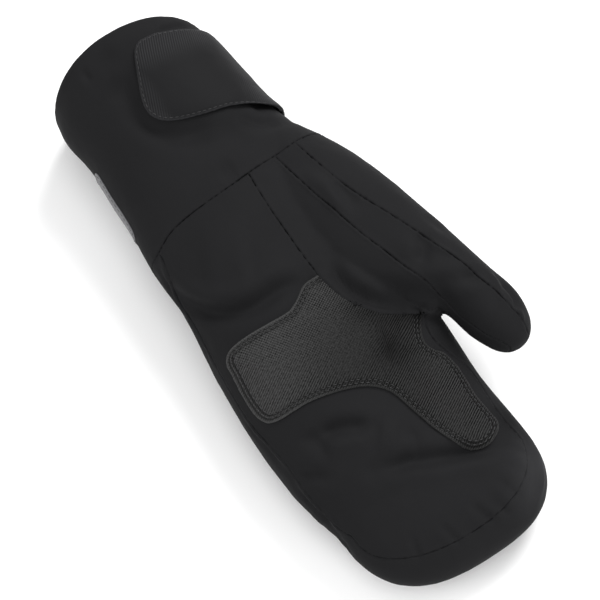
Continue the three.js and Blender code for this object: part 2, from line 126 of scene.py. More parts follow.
# Folds: how wide each is, how deep (a ridge is below zero), how far the cloth stands up beside it on
# the left and the right of its line as seen from outside, and the line. The cloth stands up highest at
# FOLD_BANK widths from the line, and a fold isn't felt past FOLD_REACH widths.
FOLD_BANK = 2.1
FOLD_BANK_WIDTH = 1.4
FOLD_REACH = 4
FOLDS = (
    # over the wrist: the swelling, and the crescent that ends it
    (16, -2.8, 0, 0, ((32, 132, 54), (6, 144, 62))),
    (4.4, 4.6, 1.9, 0.4, ((47.5, 126, 39.5), (46, 137, 42), (41, 149, 49), (32.5, 157.5, 54.2),
        (23, 162, 57.6), (13, 162.8, 59.5), (4, 162.4, 61.5), (-6, 165, 62.5), (-13, 167, 63))),
    (5, 1.5, 0, 0, ((-1, 96, 70), (-11, 96.5, 70))),
    # along the little finger's side
    (1.7, -1.3, 0, -1.1, ((44.5, 113, 48.5), (46.5, 122, 43), (48.3, 131, 36), (47.9, 140, 36.5),
        (47.9, 150, 37.5), (48.2, 162, 38.5), (50, 172, 36))),
    (1.6, -1.1, 0, -0.9, ((50.5, 205, 36), (50, 214, 36.5), (48.3, 222, 38.5), (47.4, 231, 39),
        (45, 240, 38.5))),
    (1.7, -1.3, 0, -1.3, ((45.3, 250, 37), (44.3, 257, 35.5), (43, 264, 34.5), (40.8, 272, 34),
        (40, 279, 30))),
    (7, -0.9, 0, 0, ((43, 262, 24), (41, 272, 22))),
    (5, 1.9, 0, 0, ((42, 283, 20), (37, 290, 24))),
    # over the fingers
    (4.0, 4.4, 1.0, 1.0, ((26, 236, 51.5), (16.2, 238.6, 52), (8.4, 242, 52), (0, 247, 53.5))),
    (3.6, 1.6, 0.3, 0.3, ((35, 233, 48.5), (27.5, 240, 50.5), (29, 249, 48))),
    (8, -1.7, 0, 0, ((1, 253, 53), (-8, 260, 52.5))),
    (3.0, 1.3, 0, 0.3, ((-13, 257, 52.5), (-15, 264, 51.5), (-10, 271, 49.5))),
    (4.0, 4.6, 1.0, 1.4, ((11, 266.5, 50), (0.5, 269.7, 49.5), (-7, 271.6, 49.5), (-17, 275.8, 48.8),
        (-28, 279.9, 48.4), (-41, 284.5, 47.7), (-53, 290, 45))),
    (3.4, 2.0, 0.4, 0.4, ((43, 247, 40), (37, 252, 44), (31, 257, 46))),
    # on the patch, before the crotch
    (10, 3.2, 0, 0, ((-26, 203, 58.5), (-38, 217, 56))),
    (2.9, 3.0, 0.5, 1.2, ((-31, 206, 58.5), (-29.3, 213, 58.8), (-26.5, 222, 58))),
    (2.0, 1.8, 0.3, 0.6, ((-33, 221, 57), (-42, 226, 54.5))),
    # the thumb: its root over the patch, the swelling between its seams, its bend and its tip
    (3.2, 3.8, 0.8, 0, ((-27.5, 161, 61.5), (-26.8, 169, 60.8), (-27.6, 176, 60), (-29.5, 182, 59.3),
        (-32, 187.5, 58.5), (-36.5, 193, 57.2), (-43, 198, 55), (-47, 203, 53.5))),
    (4.5, -2.4, 0, 0, ((-37, 117, 66), (-44.5, 128, 67), (-45.5, 138, 67.7), (-46, 149, 68))),
    (3.8, 1.8, 0, 0, ((-49, 128, 68), (-53, 148, 69))),
    (3.6, 2.4, 0.6, 0.6, ((-70.4, 175, 68), (-70.8, 183, 67.6), (-64, 191, 66))),
    (2.0, -1.2, 0, 0, ((-73, 184, 68), (-82, 196, 67.6))),
    (3.4, 2.3, 0.6, 0.6, ((-70, 203, 65.6), (-81.7, 209.5, 66.6), (-89, 210.5, 65))),
    (3.4, 1.6, 0.4, 0.4, ((-76, 168, 62), (-84, 182, 62))),
    (3.0, 1.4, 0.4, 0.4, ((-66, 150, 66), (-72, 162, 64))),
    (1.9, -1.7, 0, 0, ((-92.7, 211, 62.4), (-91.6, 219.5, 63), (-89.3, 227, 62.5), (-90.7, 232, 61.4))),
    (2.5, 2.4, 0, 0, ((-95, 216, 61), (-97, 225, 59), (-96.5, 232, 58.3), (-91, 232.5, 61.4))),
    (1.6, -1.2, 0, 0, ((-95.7, 234, 59), (-95, 241, 57))),
    (7, -2.6, 0, 0, ((-48, 199, 52), (-56, 206, 47))),
    (1.9, -1.2, 0, 0, ((-51, 193, 53.5), (-62, 204, 51))),
    # round the strap: the cuff gives way under its end and its foot
    (6.5, 4.6, 0, 0, ((6, 12, 79.5), (14, 24, 79), (19, 36, 77), (19, 48, 75.2), (13, 60, 75), (4, 68, 74),
        (-10, 72, 73), (-24, 75, 71))),
    (2.2, 1.3, 0.5, 0, ((-13, 12, 77.5), (-22, 11.5, 72.5), (-33, 11.4, 65))),
    (4.0, 2.8, 0, 0.9, ((-29, 69, 68.2), (-34, 79, 66.7), (-47, 82, 57.5))),
    (7, 3.0, 0, 0, ((-36, 67, 66), (-52, 63, 54))),
    (2.2, 1.3, 0, 0.5, ((31, 9, 74), (29.5, 17, 75))),
    # gathers along the seam over the fingertips, and the band beyond it
    (1.8, 0.9, 0.3, 0.3, ((-3, 306, 45), (-8, 319, 38))),
    (2.1, 1.3, 0.4, 0.4, ((-22, 306, 45), (-28, 318, 39))),
    (1.8, 1.0, 0.3, 0.3, ((-32, 308, 43), (-38, 320, 37))),
    (2.1, 1.8, 0.5, 0.6, ((-40, 301, 44), (-46, 314, 38))),
    (1.8, 1.6, 0.5, 0.5, ((-47, 296, 43), (-55, 307, 37))),
    (1.8, 1.5, 0.4, 0.5, ((-53, 289, 42), (-61, 298, 38))),
    (1.7, 0.8, 0.2, 0.2, ((12, 304, 43), (14, 315, 37))),
    (2.4, -1.6, 0, -1.0, ((-68.7, 289, 33), (-67, 299.7, 34), (-63, 310, 33), (-54, 320, 31))),
)

# Seams, as in the frame. The cross seam joins the cuff to the hand.
CROSS_SEAM = table(
    "x y", (-110, 95), (-58, 97), (-32, 100), (5, 104), (34, 106), (48, 110), (90, 113)
)
CROTCH_Y = 211
CROTCH = (-60, 211, 47)
# How the web between thumb and hand is drawn back towards the wrist: its middle in plan, how far it
# goes, and its reach across, behind and ahead.
WEB = {"x": -65.5, "y": 218, "back": 5.6, "across": 4.8, "behind": 12, "ahead": 7}
# How the cloth dives along the seam between thumb and palm: lift, place past the seam, and reach.
CREASE = ((2.0, -15, 6.5), (-1.3, -4, 4.5), (-2.4, 2, 5.5))
THUMB_SEAMS = table(
    "y palm inner outer",
    (60, -15, -31, -44),
    (90, -15, -31, -44),
    (120, -14.7, -36, -49.8),
    (140, -15.5, -41.3, -56),
    (160, -17, -47.1, -65),
    (176, -20.3, -53, -72.3),
    (188, -26, -57.2, -77),
    (198, -35, -61.5, -81.7),
    (205, -47, -64.5, -84.2),
    (CROTCH_Y, -60.5, -67.2, -86),
)
THUMB_TIP_SEAMS = table(
    "y inner outer",
    (CROTCH_Y, -67.2, -86), (226, -71, -90.6), (238, -76, -94), (248, -83, -95), (266, -92, -96),
)
THUMB_SIDE_SEAM = 44
PALM_SIDE_SEAM = 26
UNDER_THUMB_INSIDE = 2.2
UNDER_THUMB_OUTSIDE = 1.3
PALM_INDEX = table(
    "y x",
    (208, -56.5), (215, -53.5), (220, -52.5), (225, -53), (232, -55.5), (238, -58.5), (243, -61),
    (250, -62), (262, -61.5), (276, -61.5), (288, -64),
)
PALM_LITTLE = table(
    "y x",
    (60, 45), (90, 45), (112, 44.5), (131, 47), (150, 47.5), (180, 49.5), (205, 50), (222, 48.5),
    (240, 45.5), (256, 44.5), (264, 43), (276, 40.5), (288, 36),
)
# The seams are followed from under the cuff to the thumb's end, and the palm's tip is a rounded end.
PANELS_FROM = 60
THUMB_END = 266
PALM_TIP_FROM = 288
PALM_TIP_LENGTH = 29.5
PALM_TIP_CORNER = 2.2
PALM_TIP_MIDDLE = -15

# The patch's free edge, from the thumb's seam round the little finger's side to the crotch. The rest
# of its edge is caught in the thumb's seam.
PATCH_FREE = (
    (-18, 166), (-9, 167), (1, 173.5), (9, 175.5), (36, 174), (44, 177.5), (45.5, 188), (46.3, 203),
    (44.5, 214), (38, 219), (20, 220.5), (3, 224.5), (-9, 229.5), (-17, 237.5), (-22, 252),
    (-28, 269), (-36, 281), (-45, 284.5), (-53, 282), (-57, 277), (-56.5, 270), (-55, 260),
    (-55.3, 248), (-55, 240), (-52.8, 232.5), (-48.5, 228), (-46.8, 222.5), (-49, 216.5), (-54, 209),
)
PATCH_UNDER_THUMB = ((-62, 200), (-40, 180), (-24, 163))

# Soft waves in the cloth, and unevenness along its seams: height, size, and what is added to the seed.
CLOTH_WAVES = ((0.4, 34, 0), (0.18, 14, 1), (0.12, 6, 3))
SEAM_WAVES = ((0.95, 1.9, 4), (0.5, 17, 6))
SEAM_EVEN = 0.62
# A seam: how steeply it falls in, the lip beside it, the shallow gutter that it lies in, and its puckers.
SEAM_FALL = 1.3
SEAM_LIP = {"height": 0.16, "at": 1.7}
SEAM_GUTTER = {"depth": 0.15, "reach": 5}
SEAM_PUCKER = {"height": 0.16, "reach": 2.2, "size": 1.7}
# Faces are halved within these distances of a seam, one after the other.
SEAM_FINE = (3.4, 1.7)
# Within this distance of the crotch the seams are shallower.
CROTCH_REACH = 9
# The mouth's edge is rolled in, and the hem's second cloth ends over this distance.
HEM_ROLL = {"depth": 0.8, "reach": 1.8}
HEM_FADE = 1.5
# A cut moves a corner that is closer to it than this share of an edge. Fewer faces than this are an
# island left by a cut, and join the panel round them.
CORNER_CLOSE = 0.15
SMALL_ISLAND = 400

# Painted light and shade on the shell's cloth: paler where its sides and hollows are lit too little, darker
# where thumb and strap throw shade. The middle of each place, its reach and by how much.
PAINTED_LIGHT_ON_SHELL = (
    # painted light along the fingertips' side that faces the lamps
    ((-65, 303, 34), 15, 0.85),
    ((-70, 295, 31), 5, 0.55),
    ((-67, 305, 32), 5, 0.4),
    ((-55, 316, 34), 12, 0.45),
    # painted shade on the forefinger's side under the thumb
    ((-67, 279, 37), 11, -0.42),
    # painted light in the crotch, lifting the shade of its hollow
    ((-60, 212, 46), 8, 0.8),
    # painted shade along the thumb's root over the patch
    ((-33, 188, 60), 6, -0.24),
    ((-42, 197, 59), 6, -0.3),
    # painted shadow round the strap's tab and its foot
    ((13, 11, 78), 7, -0.2),
    ((20, 25, 77), 7, -0.2),
    ((23, 41, 76), 7, -0.12),
    ((8, 67, 74), 7, -0.12),
    ((-8, 71, 74), 8, -0.2),
    ((-24, 73, 71), 8, -0.16),
)

# How the patch is laid: its height over the palm, its round edge, what its rows of stitches press in
# and leave standing between them, its soft ripples, and its tuck under the thumb's seam.
PATCH_GRID = 0.5
PATCH_HEIGHT = 0.7
PATCH_EDGE = {"height": 0.6, "radius": 1.0}
PATCH_ROWS = (1.9, 3.6)
PATCH_ROW = {"depth": 0.4, "reach": 0.42}
PATCH_RIDGE = {"height": 0.2, "reach": 0.6}
PATCH_RIPPLE = {"height": 0.15, "size": 3.5, "reach": 7}
PATCH_TUCK = {"depth": 0.4, "reach": 3}

# The grip cloth's ribs: their direction in plan, how far the cross ribs turn from them, and the pitch.
GRIP_TURN = 33.0
GRIP_CROSS_TURN = 92
GRIP_PITCH = 1.17
# Ways in plan over the patch: from the palm's heel to the forefinger, and on towards the thumb's root.
GRIP_ACROSS = (-0.85, 0.52)
GRIP_UP = (-0.494, -0.806)
# Places on the patch, and how far each reaches: the thumb's fork, darkened with painted shade; a paler corner
# by the thumb's seam; and where the palm has rubbed the ribs flat.
THUMB_FORK = ((-29, 219), 10)
PALE_CORNER = ((-16, 180), 14)
RUBBED = ((-11, 206), 17)

# The strap's tab over the palm: a Y for each X of its two edges, and its rounded free end.
STRAP_EDGES = table(
    "x upper lower",
    (-80, 74, 19), (-48, 72.4, 18.5), (-30, 67, 15.5), (-12, 64.2, 12.6), (-2, 62, 12.8),
)
STRAP_END = (
    (-2, 62), (6, 58.8), (11.5, 54), (13.8, 47.5), (12.3, 39), (8.2, 28.5), (5, 20.5), (1.8, 15.2),
    (-2, 12.8),
)
STRAP_FOOT = 9
STRAP_BOW = {"angle": 152, "reach": 22, "y": 68, "fade": 22}
# The grid that the strap is cut from: its faces, its start and length along the cuff, and its start and
# reach round it in degrees. Its length is measured round the cuff at the ring.
STRAP_GRID = {"faces": (210, 110), "y": -4, "long": 84, "turn": 55, "round": 165, "ring": 40.0}
STRAP_EDGE = {"height": 0.8, "radius": 1.2}
STRAP_ROW = {"depth": 0.25, "at": 1.3, "reach": 0.4}
STRAP_SUNK = 0.6
STRAP_SEWN_TO = -44

# The reflective panel on the little finger's side of the cuff: a height for each corner's Y.
REFLECTIVE = {"from": 50, "to": 91, "top_at_wrist": 39.5, "top_at_mouth": 45, "bottom": 12, "corner": 5}
REFLECTIVE_EDGE = {"height": 0.25, "width": 0.8}
REFLECTIVE_ROW = 1.6
REFLECTIVE_FILM = 0.5

# How high strap and reflective film stand off the shell.
LAID_OFF = 0.35
# From where a place on the cloth is sought: over the palm, and beside the cuff.
OVER_PALM = 60.0
BESIDE_CUFF = 50.0
# The share of its pitch that a stitch is long.
STITCH_SHARE = 0.74

# The shaped form before its seams, that the pieces on top are laid on.
SKIN = "skin"
# The shell's panels, and the width and length in millimetres that each is cut to.
SHELL = {
    "cuff": (290, 112),
    "palm_panel": (113, 222),
    "thumb_inner_panel": (37, 172),
    "thumb_middle_panel": (27, 173),
    "thumb_back_panel": (84, 175),
    "back_panel": (190, 266),
}


def linear(hex_colour):
    """An sRGB hex colour as linear red, green, blue and alpha."""
    channels = [int(hex_colour[i : i + 2], 16) / 255 for i in (1, 3, 5)]
    return [c / 12.92 if c <= 0.04045 else ((c + 0.055) / 1.055) ** 2.4 for c in channels] + [1.0]


def length_setting(name, description, millimetres):
    return FloatProperty(name=name, description=description, default=millimetres * MM, unit="LENGTH")


def colour_setting(name, description, hex_colour):
    return FloatVectorProperty(
        name=name, description=description, default=linear(hex_colour)[:3], subtype="COLOR"
    )


class GloveSizes(bpy.types.PropertyGroup):
    """Sizes of the glove's cloth, seams and threads"""

    shell_cloth: length_setting("Shell cloth", "Thickness of the shell's cloth", 1.4)
    hem_width: length_setting("Hem", "How far the turned hem reaches into the mouth", 16)
    seam_depth: length_setting("Seam depth", "How deep the cloth turns in at a seam", 0.85)
    seam_width: length_setting("Seam width", "Reach of the turn on each side of a seam", 0.7)
    patch_cloth: length_setting("Patch cloth", "Thickness of the palm patch", 0.8)
    strap_cloth: length_setting("Strap", "Thickness of the wrist strap", 2.0)
    strap_lift: length_setting("Strap bow", "How far the strap bows off the cuff", 1.6)
    stitch_pitch: length_setting("Stitch", "From one stitch to the next", 3.0)
    thread: length_setting("Thread", "Diameter of the sewing thread", 0.5)
    grid: length_setting("Cloth grid", "Size of the faces that the cloth is made of", 1.6)
    seed: IntProperty(name="Seed", description="Picks the small wrinkles", default=7)


class GloveColours(bpy.types.PropertyGroup):
    """Colours of the glove's cloths"""

    shell: colour_setting("Shell", "Laminated shell cloth", "#1C1C1D")
    patch: colour_setting("Patch", "Ribbed grip cloth", "#282828")
    strap: colour_setting("Strap", "Coated strap", "#1A1A1B")
    reflective: colour_setting("Reflective", "Reflective film", "#636365")
    thread: colour_setting("Thread", "Sewing thread", "#1C1C1D")


# ---- Curves and surfaces in the hand's millimetres ---------------------------------------------


def smooth_at(rows, along, column, at):
    """A smooth curve through a table's rows: a column's value where the column "along" is "at"."""
    xs, ys = rows[along], rows[column]
    at = np.clip(np.asarray(at, float), xs[0], xs[-1])
    i = np.clip(np.searchsorted(xs, at) - 1, 0, len(xs) - 2)
    before = np.clip(np.arange(len(xs)) - 1, 0, None)
    after = np.clip(np.arange(len(xs)) + 1, None, len(xs) - 1)
    slope = (ys[after] - ys[before]) / (xs[after] - xs[before])
    span = xs[i + 1] - xs[i]
    rise = ys[i + 1] - ys[i]
    start, end = slope[i] * span, slope[i + 1] * span
    t = (at - xs[i]) / span
    return ys[i] + t * start + t**2 * (3 * rise - 2 * start - end) + t**3 * (start + end - 2 * rise)


def power(value, exponent):
    return np.sign(value) * np.abs(value) ** exponent


def closing(past, exponent):
    return (1 - past**exponent) ** (1 / exponent)


def bell(distance, reach):
    """1 where the distance is 0, fading softly to nothing past the reach."""
    return np.exp(-((distance / reach) ** 2))


def soft_step(value, start, end):
    t = np.clip((value - start) / (end - start), 0, 1)
    return t * t * (3 - 2 * t)


def rounded(from_edge, radius):
    """A rounded edge's height, from 0 at the edge to 1 a radius in."""
    return np.sqrt(np.clip(1 - np.clip(1 - from_edge / radius, 0, 1) ** 2, 0, 1))


def gap_to(points, spot):
    return np.linalg.norm(points - spot, axis=1)


def mitten_row(y):
    return {name: smooth_at(MITTEN, "y", name, y) for name in MITTEN if name != "y"}


def sloping(points):
    """The directions of points round the mitten's middle, in radians."""
    row = mitten_row(points[:, 1])
    return np.arctan2(points[:, 2] - row["mid"], points[:, 0] - (row["thumb"] + row["little"]) / 2)


def settled(z):
    """Heights of a form let down by SAG on the floor: flat where it lies, and rounding up softly."""
    lowest = (math.hypot(SAG, FLOOR_ROUND) - SAG) / 2
    return np.maximum((z + np.hypot(z, FLOOR_ROUND)) / 2 - lowest, 0)


def mitten_surface(y, angle):
    """Points of the mitten. The angle runs from the little finger's side over the palm to the thumb's
    side and under the back."""
    row = mitten_row(y)
    past = np.clip((y - MITTEN["y"][-1]) / TIP_LENGTH, 0, 1)
    middle = (row["thumb"] + row["little"]) / 2
    middle = middle + (TIP_MIDDLE - middle) * past
    half = (row["little"] - row["thumb"]) / 2 * closing(past, TIP_CORNER)
    above = (row["top"] - row["mid"]) * closing(past, TIP_PROFILE)
    below = (row["mid"] + SAG) * closing(past, TIP_PROFILE)
    across = power(np.cos(angle), 2 / row["square"])
    up = power(np.sin(angle), 2 / row["square"])
    x = middle + np.maximum(half, THINNEST) * across
    z = row["mid"] - 2 * past + np.maximum(np.where(up > 0, above, below), THINNEST) * up
    bow = MOUTH_BOW * np.clip(1 - y / MOUTH_BOW_FADE, 0, 2) ** 2
    return np.stack([x, y + bow * (1 - np.abs(up) ** 1.5), settled(z)], axis=1)


def thumb_surface(at, angle):
    """Points of the thumb. "at" runs from 0 at its root to 1 at its tip."""
    rows = {**THUMB, "at": np.linspace(0, 1, len(THUMB["x"]))}

    def spine(t):
        return np.stack([smooth_at(rows, "at", axis, t) for axis in "xyz"], axis=1)

    def unit(v):
        return v / np.linalg.norm(v, axis=1, keepdims=True)

    ahead = unit(spine(np.minimum(at + 0.01, 1)) - spine(np.maximum(at - 0.01, 0)))
    side = unit(np.cross(ahead, (0, 0, 1)))
    up = np.cross(side, ahead)
    shrink = closing(np.clip((at - THUMB_TIP_FROM) / (1 - THUMB_TIP_FROM), 0, 1), THUMB_TIP_ROUND)
    across = power(np.cos(angle), 2 / THUMB_BOX)
    lift = power(np.sin(angle), 2 / THUMB_BOX)
    reach = np.where(across > 0, smooth_at(rows, "at", "inner", at), smooth_at(rows, "at", "outer", at))
    high = smooth_at(rows, "at", "high", at)
    sideways = np.maximum(reach * shrink, THINNEST) * across
    upwards = np.maximum(high * shrink, THINNEST) * lift
    return spine(at) + sideways[:, None] * side + upwards[:, None] * up


def line_places(line, points, ways):
    """For points on a surface: the distance to a line in space, above zero on its left as seen from
    outside, and how far along the line, from 0 to 1."""
    least = np.full(len(points), np.inf)
    side, along = np.zeros(len(points)), np.zeros(len(points))
    for k, (start, end) in enumerate(zip(line[:-1], line[1:])):
        way = end - start
        t = np.clip(((points - start) @ way) / (way @ way), 0, 1)
        gap = points - start - t[:, None] * way
        far = np.einsum("ij,ij->i", gap, gap)
        closer = far < least
        least = np.where(closer, far, least)
        left = np.einsum("ij,ij->i", np.cross(ways, way), gap)
        side = np.where(closer, np.where(left < 0, -1, 1), side)
        along = np.where(closer, (k + t) / (len(line) - 1), along)
    return side * np.sqrt(least), along


def fold_depth(points, ways):
    """How far the folds press the cloth in at each point."""
    depth = np.zeros(len(points))
    for wide, deep, left, right, line in FOLDS:
        line = through(line, 2.5)
        low, high = line.min(axis=0) - FOLD_REACH * wide, line.max(axis=0) + FOLD_REACH * wide
        near = np.all((points > low) & (points < high), axis=1)
        side, along = line_places(line, points[near], ways[near])
        ending = np.clip(np.minimum(along, 1 - along) * 3.5, 0, 1)
        strength = 0.25 + 0.75 * ending**2 * (3 - 2 * ending)
        press = deep * bell(side, wide)
        for bank, at in ((left, FOLD_BANK), (right, -FOLD_BANK)):
            press -= bank * np.exp(-((side / wide - at) ** 2) / FOLD_BANK_WIDTH)
        depth[near] += strength * press
    return depth


def curve_points(rows, along, column, start, end, count):
    at = np.linspace(start, end, count)
    other = smooth_at(rows, along, column, at)
    return np.stack([other, at] if along == "y" else [at, other], axis=1)


def through(points, spacing):
    """A smooth line through points, in even steps."""
    given = np.array(points, float)
    last = len(given) - 1
    line = []
    for i in range(last):
        p0, p1, p2, p3 = (given[min(max(i + k, 0), last)] for k in (-1, 0, 1, 2))
        for t in np.linspace(0, 1, 12, endpoint=False):
            bend = (2 * p0 - 5 * p1 + 4 * p2 - p3) * t**2 + (3 * p1 - p0 - 3 * p2 + p3) * t**3
            line.append(p1 + ((p2 - p0) * t + bend) / 2)
    line.append(given[-1])
    return evenly(np.array(line), spacing)


def evenly(line, spacing):
    """A line's points in even steps of about a spacing."""
    steps = np.linalg.norm(np.diff(line, axis=0), axis=1)
    far = np.concatenate([[0], np.cumsum(steps)])
    at = np.linspace(0, far[-1], max(int(round(far[-1] / spacing)), 1) + 1)
    return np.stack([np.interp(at, far, line[:, k]) for k in range(line.shape[1])], axis=1)


def distance_to(line, points, closed=False):
    """Distance in plan from points to a line."""
    a = line if closed else line[:-1]
    b = np.roll(line, -1, axis=0) if closed else line[1:]
    least = np.full(len(points), np.inf)
    for start, end in zip(a, b):
        way = end - start
        t = np.clip(((points[:, :2] - start) @ way) / max(way @ way, 1e-12), 0, 1)
        gap = points[:, :2] - start - t[:, None] * way
        least = np.minimum(least, np.einsum("ij,ij->i", gap, gap))
    return np.sqrt(least)


def depth_inside(outline, points):
    """How far points lie inside a closed outline in plan: negative outside it."""
    inside = np.zeros(len(points), bool)
    x, y = points[:, 0], points[:, 1]
    for (x0, y0), (x1, y1) in zip(outline, np.roll(outline, -1, axis=0)):
        if y0 == y1:
            continue
        crosses = (y0 > y) != (y1 > y)
        inside ^= crosses & (x < x0 + (y - y0) * (x1 - x0) / (y1 - y0))
    return np.where(inside, 1, -1) * distance_to(outline, points, closed=True)


def palm_tip(count):
    """The palm panel's edge round the fingertips, from the little finger's side."""
    turn = np.linspace(0, math.pi, count)
    across = power(np.cos(turn), 2 / PALM_TIP_CORNER)
    half = np.where(
        across > 0, PALM_LITTLE["x"][-1] - PALM_TIP_MIDDLE, PALM_TIP_MIDDLE - PALM_INDEX["x"][-1]
    )
    far = PALM_TIP_FROM + PALM_TIP_LENGTH * np.sin(turn) ** (2 / PALM_TIP_CORNER)
    return np.stack([PALM_TIP_MIDDLE + half * across, far], axis=1)


def up_under(column):
    """Up the thumb along a seam, some way under the panel that is cut before."""
    root = curve_points(THUMB_SEAMS, "y", column, PANELS_FROM, CROTCH_Y - 2, 40) + (8, 0)
    tip = curve_points(THUMB_TIP_SEAMS, "y", column, CROTCH_Y, THUMB_END, 20) + (6, 0)
    return np.concatenate([root, tip])


def down_seam(column):
    """Down the thumb along a seam."""
    tip = curve_points(THUMB_TIP_SEAMS, "y", column, THUMB_END, CROTCH_Y, 20)
    return np.concatenate([tip, curve_points(THUMB_SEAMS, "y", column, CROTCH_Y - 2, PANELS_FROM, 60)])


# Each panel's outline in plan. A panel is cut out of what the ones before it leave, so its outline
# may run on under them.
def palm_outline():
    return np.concatenate([
        curve_points(PALM_LITTLE, "y", "x", PANELS_FROM, PALM_TIP_FROM, 60),
        palm_tip(40)[1:-1],
        curve_points(PALM_INDEX, "y", "x", PALM_TIP_FROM, PALM_INDEX["y"][0], 40),
        curve_points(THUMB_SEAMS, "y", "palm", CROTCH_Y - 4, PANELS_FROM, 60),
    ])


def thumb_inner_outline():
    under_palm = curve_points(THUMB_SEAMS, "y", "palm", PANELS_FROM, CROTCH_Y - 6, 40) + (10, 0)
    return np.concatenate([
        under_palm,
        [(-57, 209), (-61, 213), (-62.6, 226), (-65, 238), (-68, 275)],
        down_seam("inner"),
    ])


def thumb_middle_outline():
    return np.concatenate([up_under("inner"), down_seam("outer")])


def thumb_back_outline():
    return np.concatenate([up_under("outer"), [(-80, 290), (-140, 290), (-140, PANELS_FROM)]])


def thumb_under_outline():
    root = curve_points(MITTEN, "y", "thumb", PANELS_FROM, 200, 30) + (UNDER_THUMB_INSIDE, 0)
    free = curve_points(MITTEN, "y", "thumb", 212, 275, 12) - (UNDER_THUMB_OUTSIDE, 0)
    return np.concatenate([root, free, [(-140, 275), (-140, PANELS_FROM)]])


def mouth_field(points):
    """Above zero on the glove's side of the bowed mouth."""
    up = np.abs(points[:, 2] - MOUTH_MID) / MOUTH_REACH
    return points[:, 1] + MOUTH_ROLL - MOUTH_BOW * (1 - np.clip(up, 0, 1) ** 1.5)


def cuff_field(points):
    return smooth_at(CROSS_SEAM, "x", "y", points[:, 0]) - points[:, 1]


def panel_field(outline, bottom):
    return lambda points: np.minimum(depth_inside(outline, points), points[:, 2] - bottom)


def thumb_back_field(points):
    upper = panel_field(thumb_back_outline(), THUMB_SIDE_SEAM - 6)(points)
    under = np.minimum(depth_inside(thumb_under_outline(), points), THUMB_SIDE_SEAM - points[:, 2])
    return np.maximum(upper, under)


# ---- Mesh tools --------------------------------------------------------------------------------


def coords(bm):
    return np.array([v.co for v in bm.verts], float).reshape(-1, 3)


def normals(bm):
    bm.normal_update()
    return np.array([v.normal for v in bm.verts], float).reshape(-1, 3)


def place(bm, points):
    for vert, point in zip(bm.verts, points):
        vert.co = point


def set_layer(bm, name, values):
    layer = bm.verts.layers.float.new(name)
    for vert, value in zip(bm.verts, values):
        vert[layer] = value


def smooth_evenly(bm, factor):
    bmesh.ops.smooth_vert(
        bm, verts=bm.verts, factor=factor, use_axis_x=True, use_axis_y=True, use_axis_z=True
    )


def face_out(bm, outward):
    """Turns a cloth's faces one way, so that its normals go with "outward" on the whole."""
    bmesh.ops.recalc_face_normals(bm, faces=bm.faces)
    if np.mean(np.sum(normals(bm) * outward, axis=1)) < 0:
        bmesh.ops.reverse_faces(bm, faces=bm.faces)


def tube(surface, faces):
    """A closed tube: a grid rolled up by surface(station 0 to 1, angle), with its ends filled."""
    bm = bmesh.new()
    bmesh.ops.create_grid(bm, x_segments=faces[0], y_segments=faces[1], size=1)
    at = coords(bm)
    place(bm, surface((at[:, 1] + 1) / 2, (at[:, 0] + 1) * math.pi))
    bmesh.ops.remove_doubles(bm, verts=bm.verts, dist=1e-3)
    bmesh.ops.holes_fill(bm, edges=[e for e in bm.edges if e.is_boundary], sides=0)
    bmesh.ops.recalc_face_normals(bm, faces=bm.faces)
    return bm


def middles(faces):
    return np.array([f.calc_center_median() for f in faces], float)


def fused(bm, grain):
    """One even skin round closed forms that run into each other."""
    mesh = bpy.data.meshes.new("form")
    bm.to_mesh(mesh)
    bm.free()
    form = bpy.data.objects.new("form", mesh)
    bpy.context.scene.collection.objects.link(form)
    remesh = form.modifiers.new("fuse", "REMESH")
    remesh.mode = "VOXEL"
    remesh.voxel_size = grain
    skin = bpy.data.meshes.new_from_object(form.evaluated_get(bpy.context.evaluated_depsgraph_get()))
    made = bmesh.new()
    made.from_mesh(skin)
    bpy.data.objects.remove(form)
    for used in (mesh, skin):
        bpy.data.meshes.remove(used)
    return made


def cut_along(bm, field, faces):
    """Cuts faces along the line where a field is zero. A crossing close to a corner moves the corner.
    The edges are taken in order, so that the cut comes out the same each time."""
    bm.verts.index_update()
    value = field(coords(bm))
    edges = list(dict.fromkeys(e for f in faces for e in f.edges))
    line = []
    for edge in edges:
        a, b = edge.verts
        fa, fb = value[a.index], value[b.index]
        if fa * fb >= 0:
            continue
        t = fa / (fa - fb)
        if CORNER_CLOSE <= t <= 1 - CORNER_CLOSE:
            continue
        corner = a if t < CORNER_CLOSE else b
        corner.co = a.co.lerp(b.co, t)
        value[corner.index] = 0
        line.append(corner)
    for edge in edges:
        a, b = edge.verts
        fa, fb = value[a.index], value[b.index]
        if fa * fb < 0:
            line.append(bmesh.utils.edge_split(edge, a, fa / (fa - fb))[1])
    bmesh.ops.connect_verts(bm, verts=list(dict.fromkeys(line)))


def mark(bm, field, label, loose):
    """Gives the label to every loose face where the field is above zero."""
    cut_along(bm, field, [f for f in bm.faces if f.material_index == loose])
    faces = [f for f in bm.faces if f.material_index == loose]
    for face, value in zip(faces, field(middles(faces))):
        if value > 0:
            face.material_index = label


def trim(bm, field):
    """Cuts off what lies where the field is below zero."""
    cut_along(bm, field, list(bm.faces))
    outside = [f for f, value in zip(bm.faces, field(middles(bm.faces))) if value < 0]
    bmesh.ops.delete(bm, geom=outside, context="FACES")


def absorb_islands(bm):
    """Gives small patches of a label, cut off from the rest of it, to the panel round them."""
    seen = set()
    for first in bm.faces:
        if first in seen:
            continue
        island, border, waiting = [], [], [first]
        seen.add(first)
        while waiting:
            face = waiting.pop()
            island.append(face)
            for edge in face.edges:
                for other in edge.link_faces:
                    if other.material_index != first.material_index:
                        border.append(other.material_index)
                    elif other not in seen:
                        seen.add(other)
                        waiting.append(other)
        if len(island) < SMALL_ISLAND:
            label = max(set(border), key=border.count)
            for face in island:
                face.material_index = label


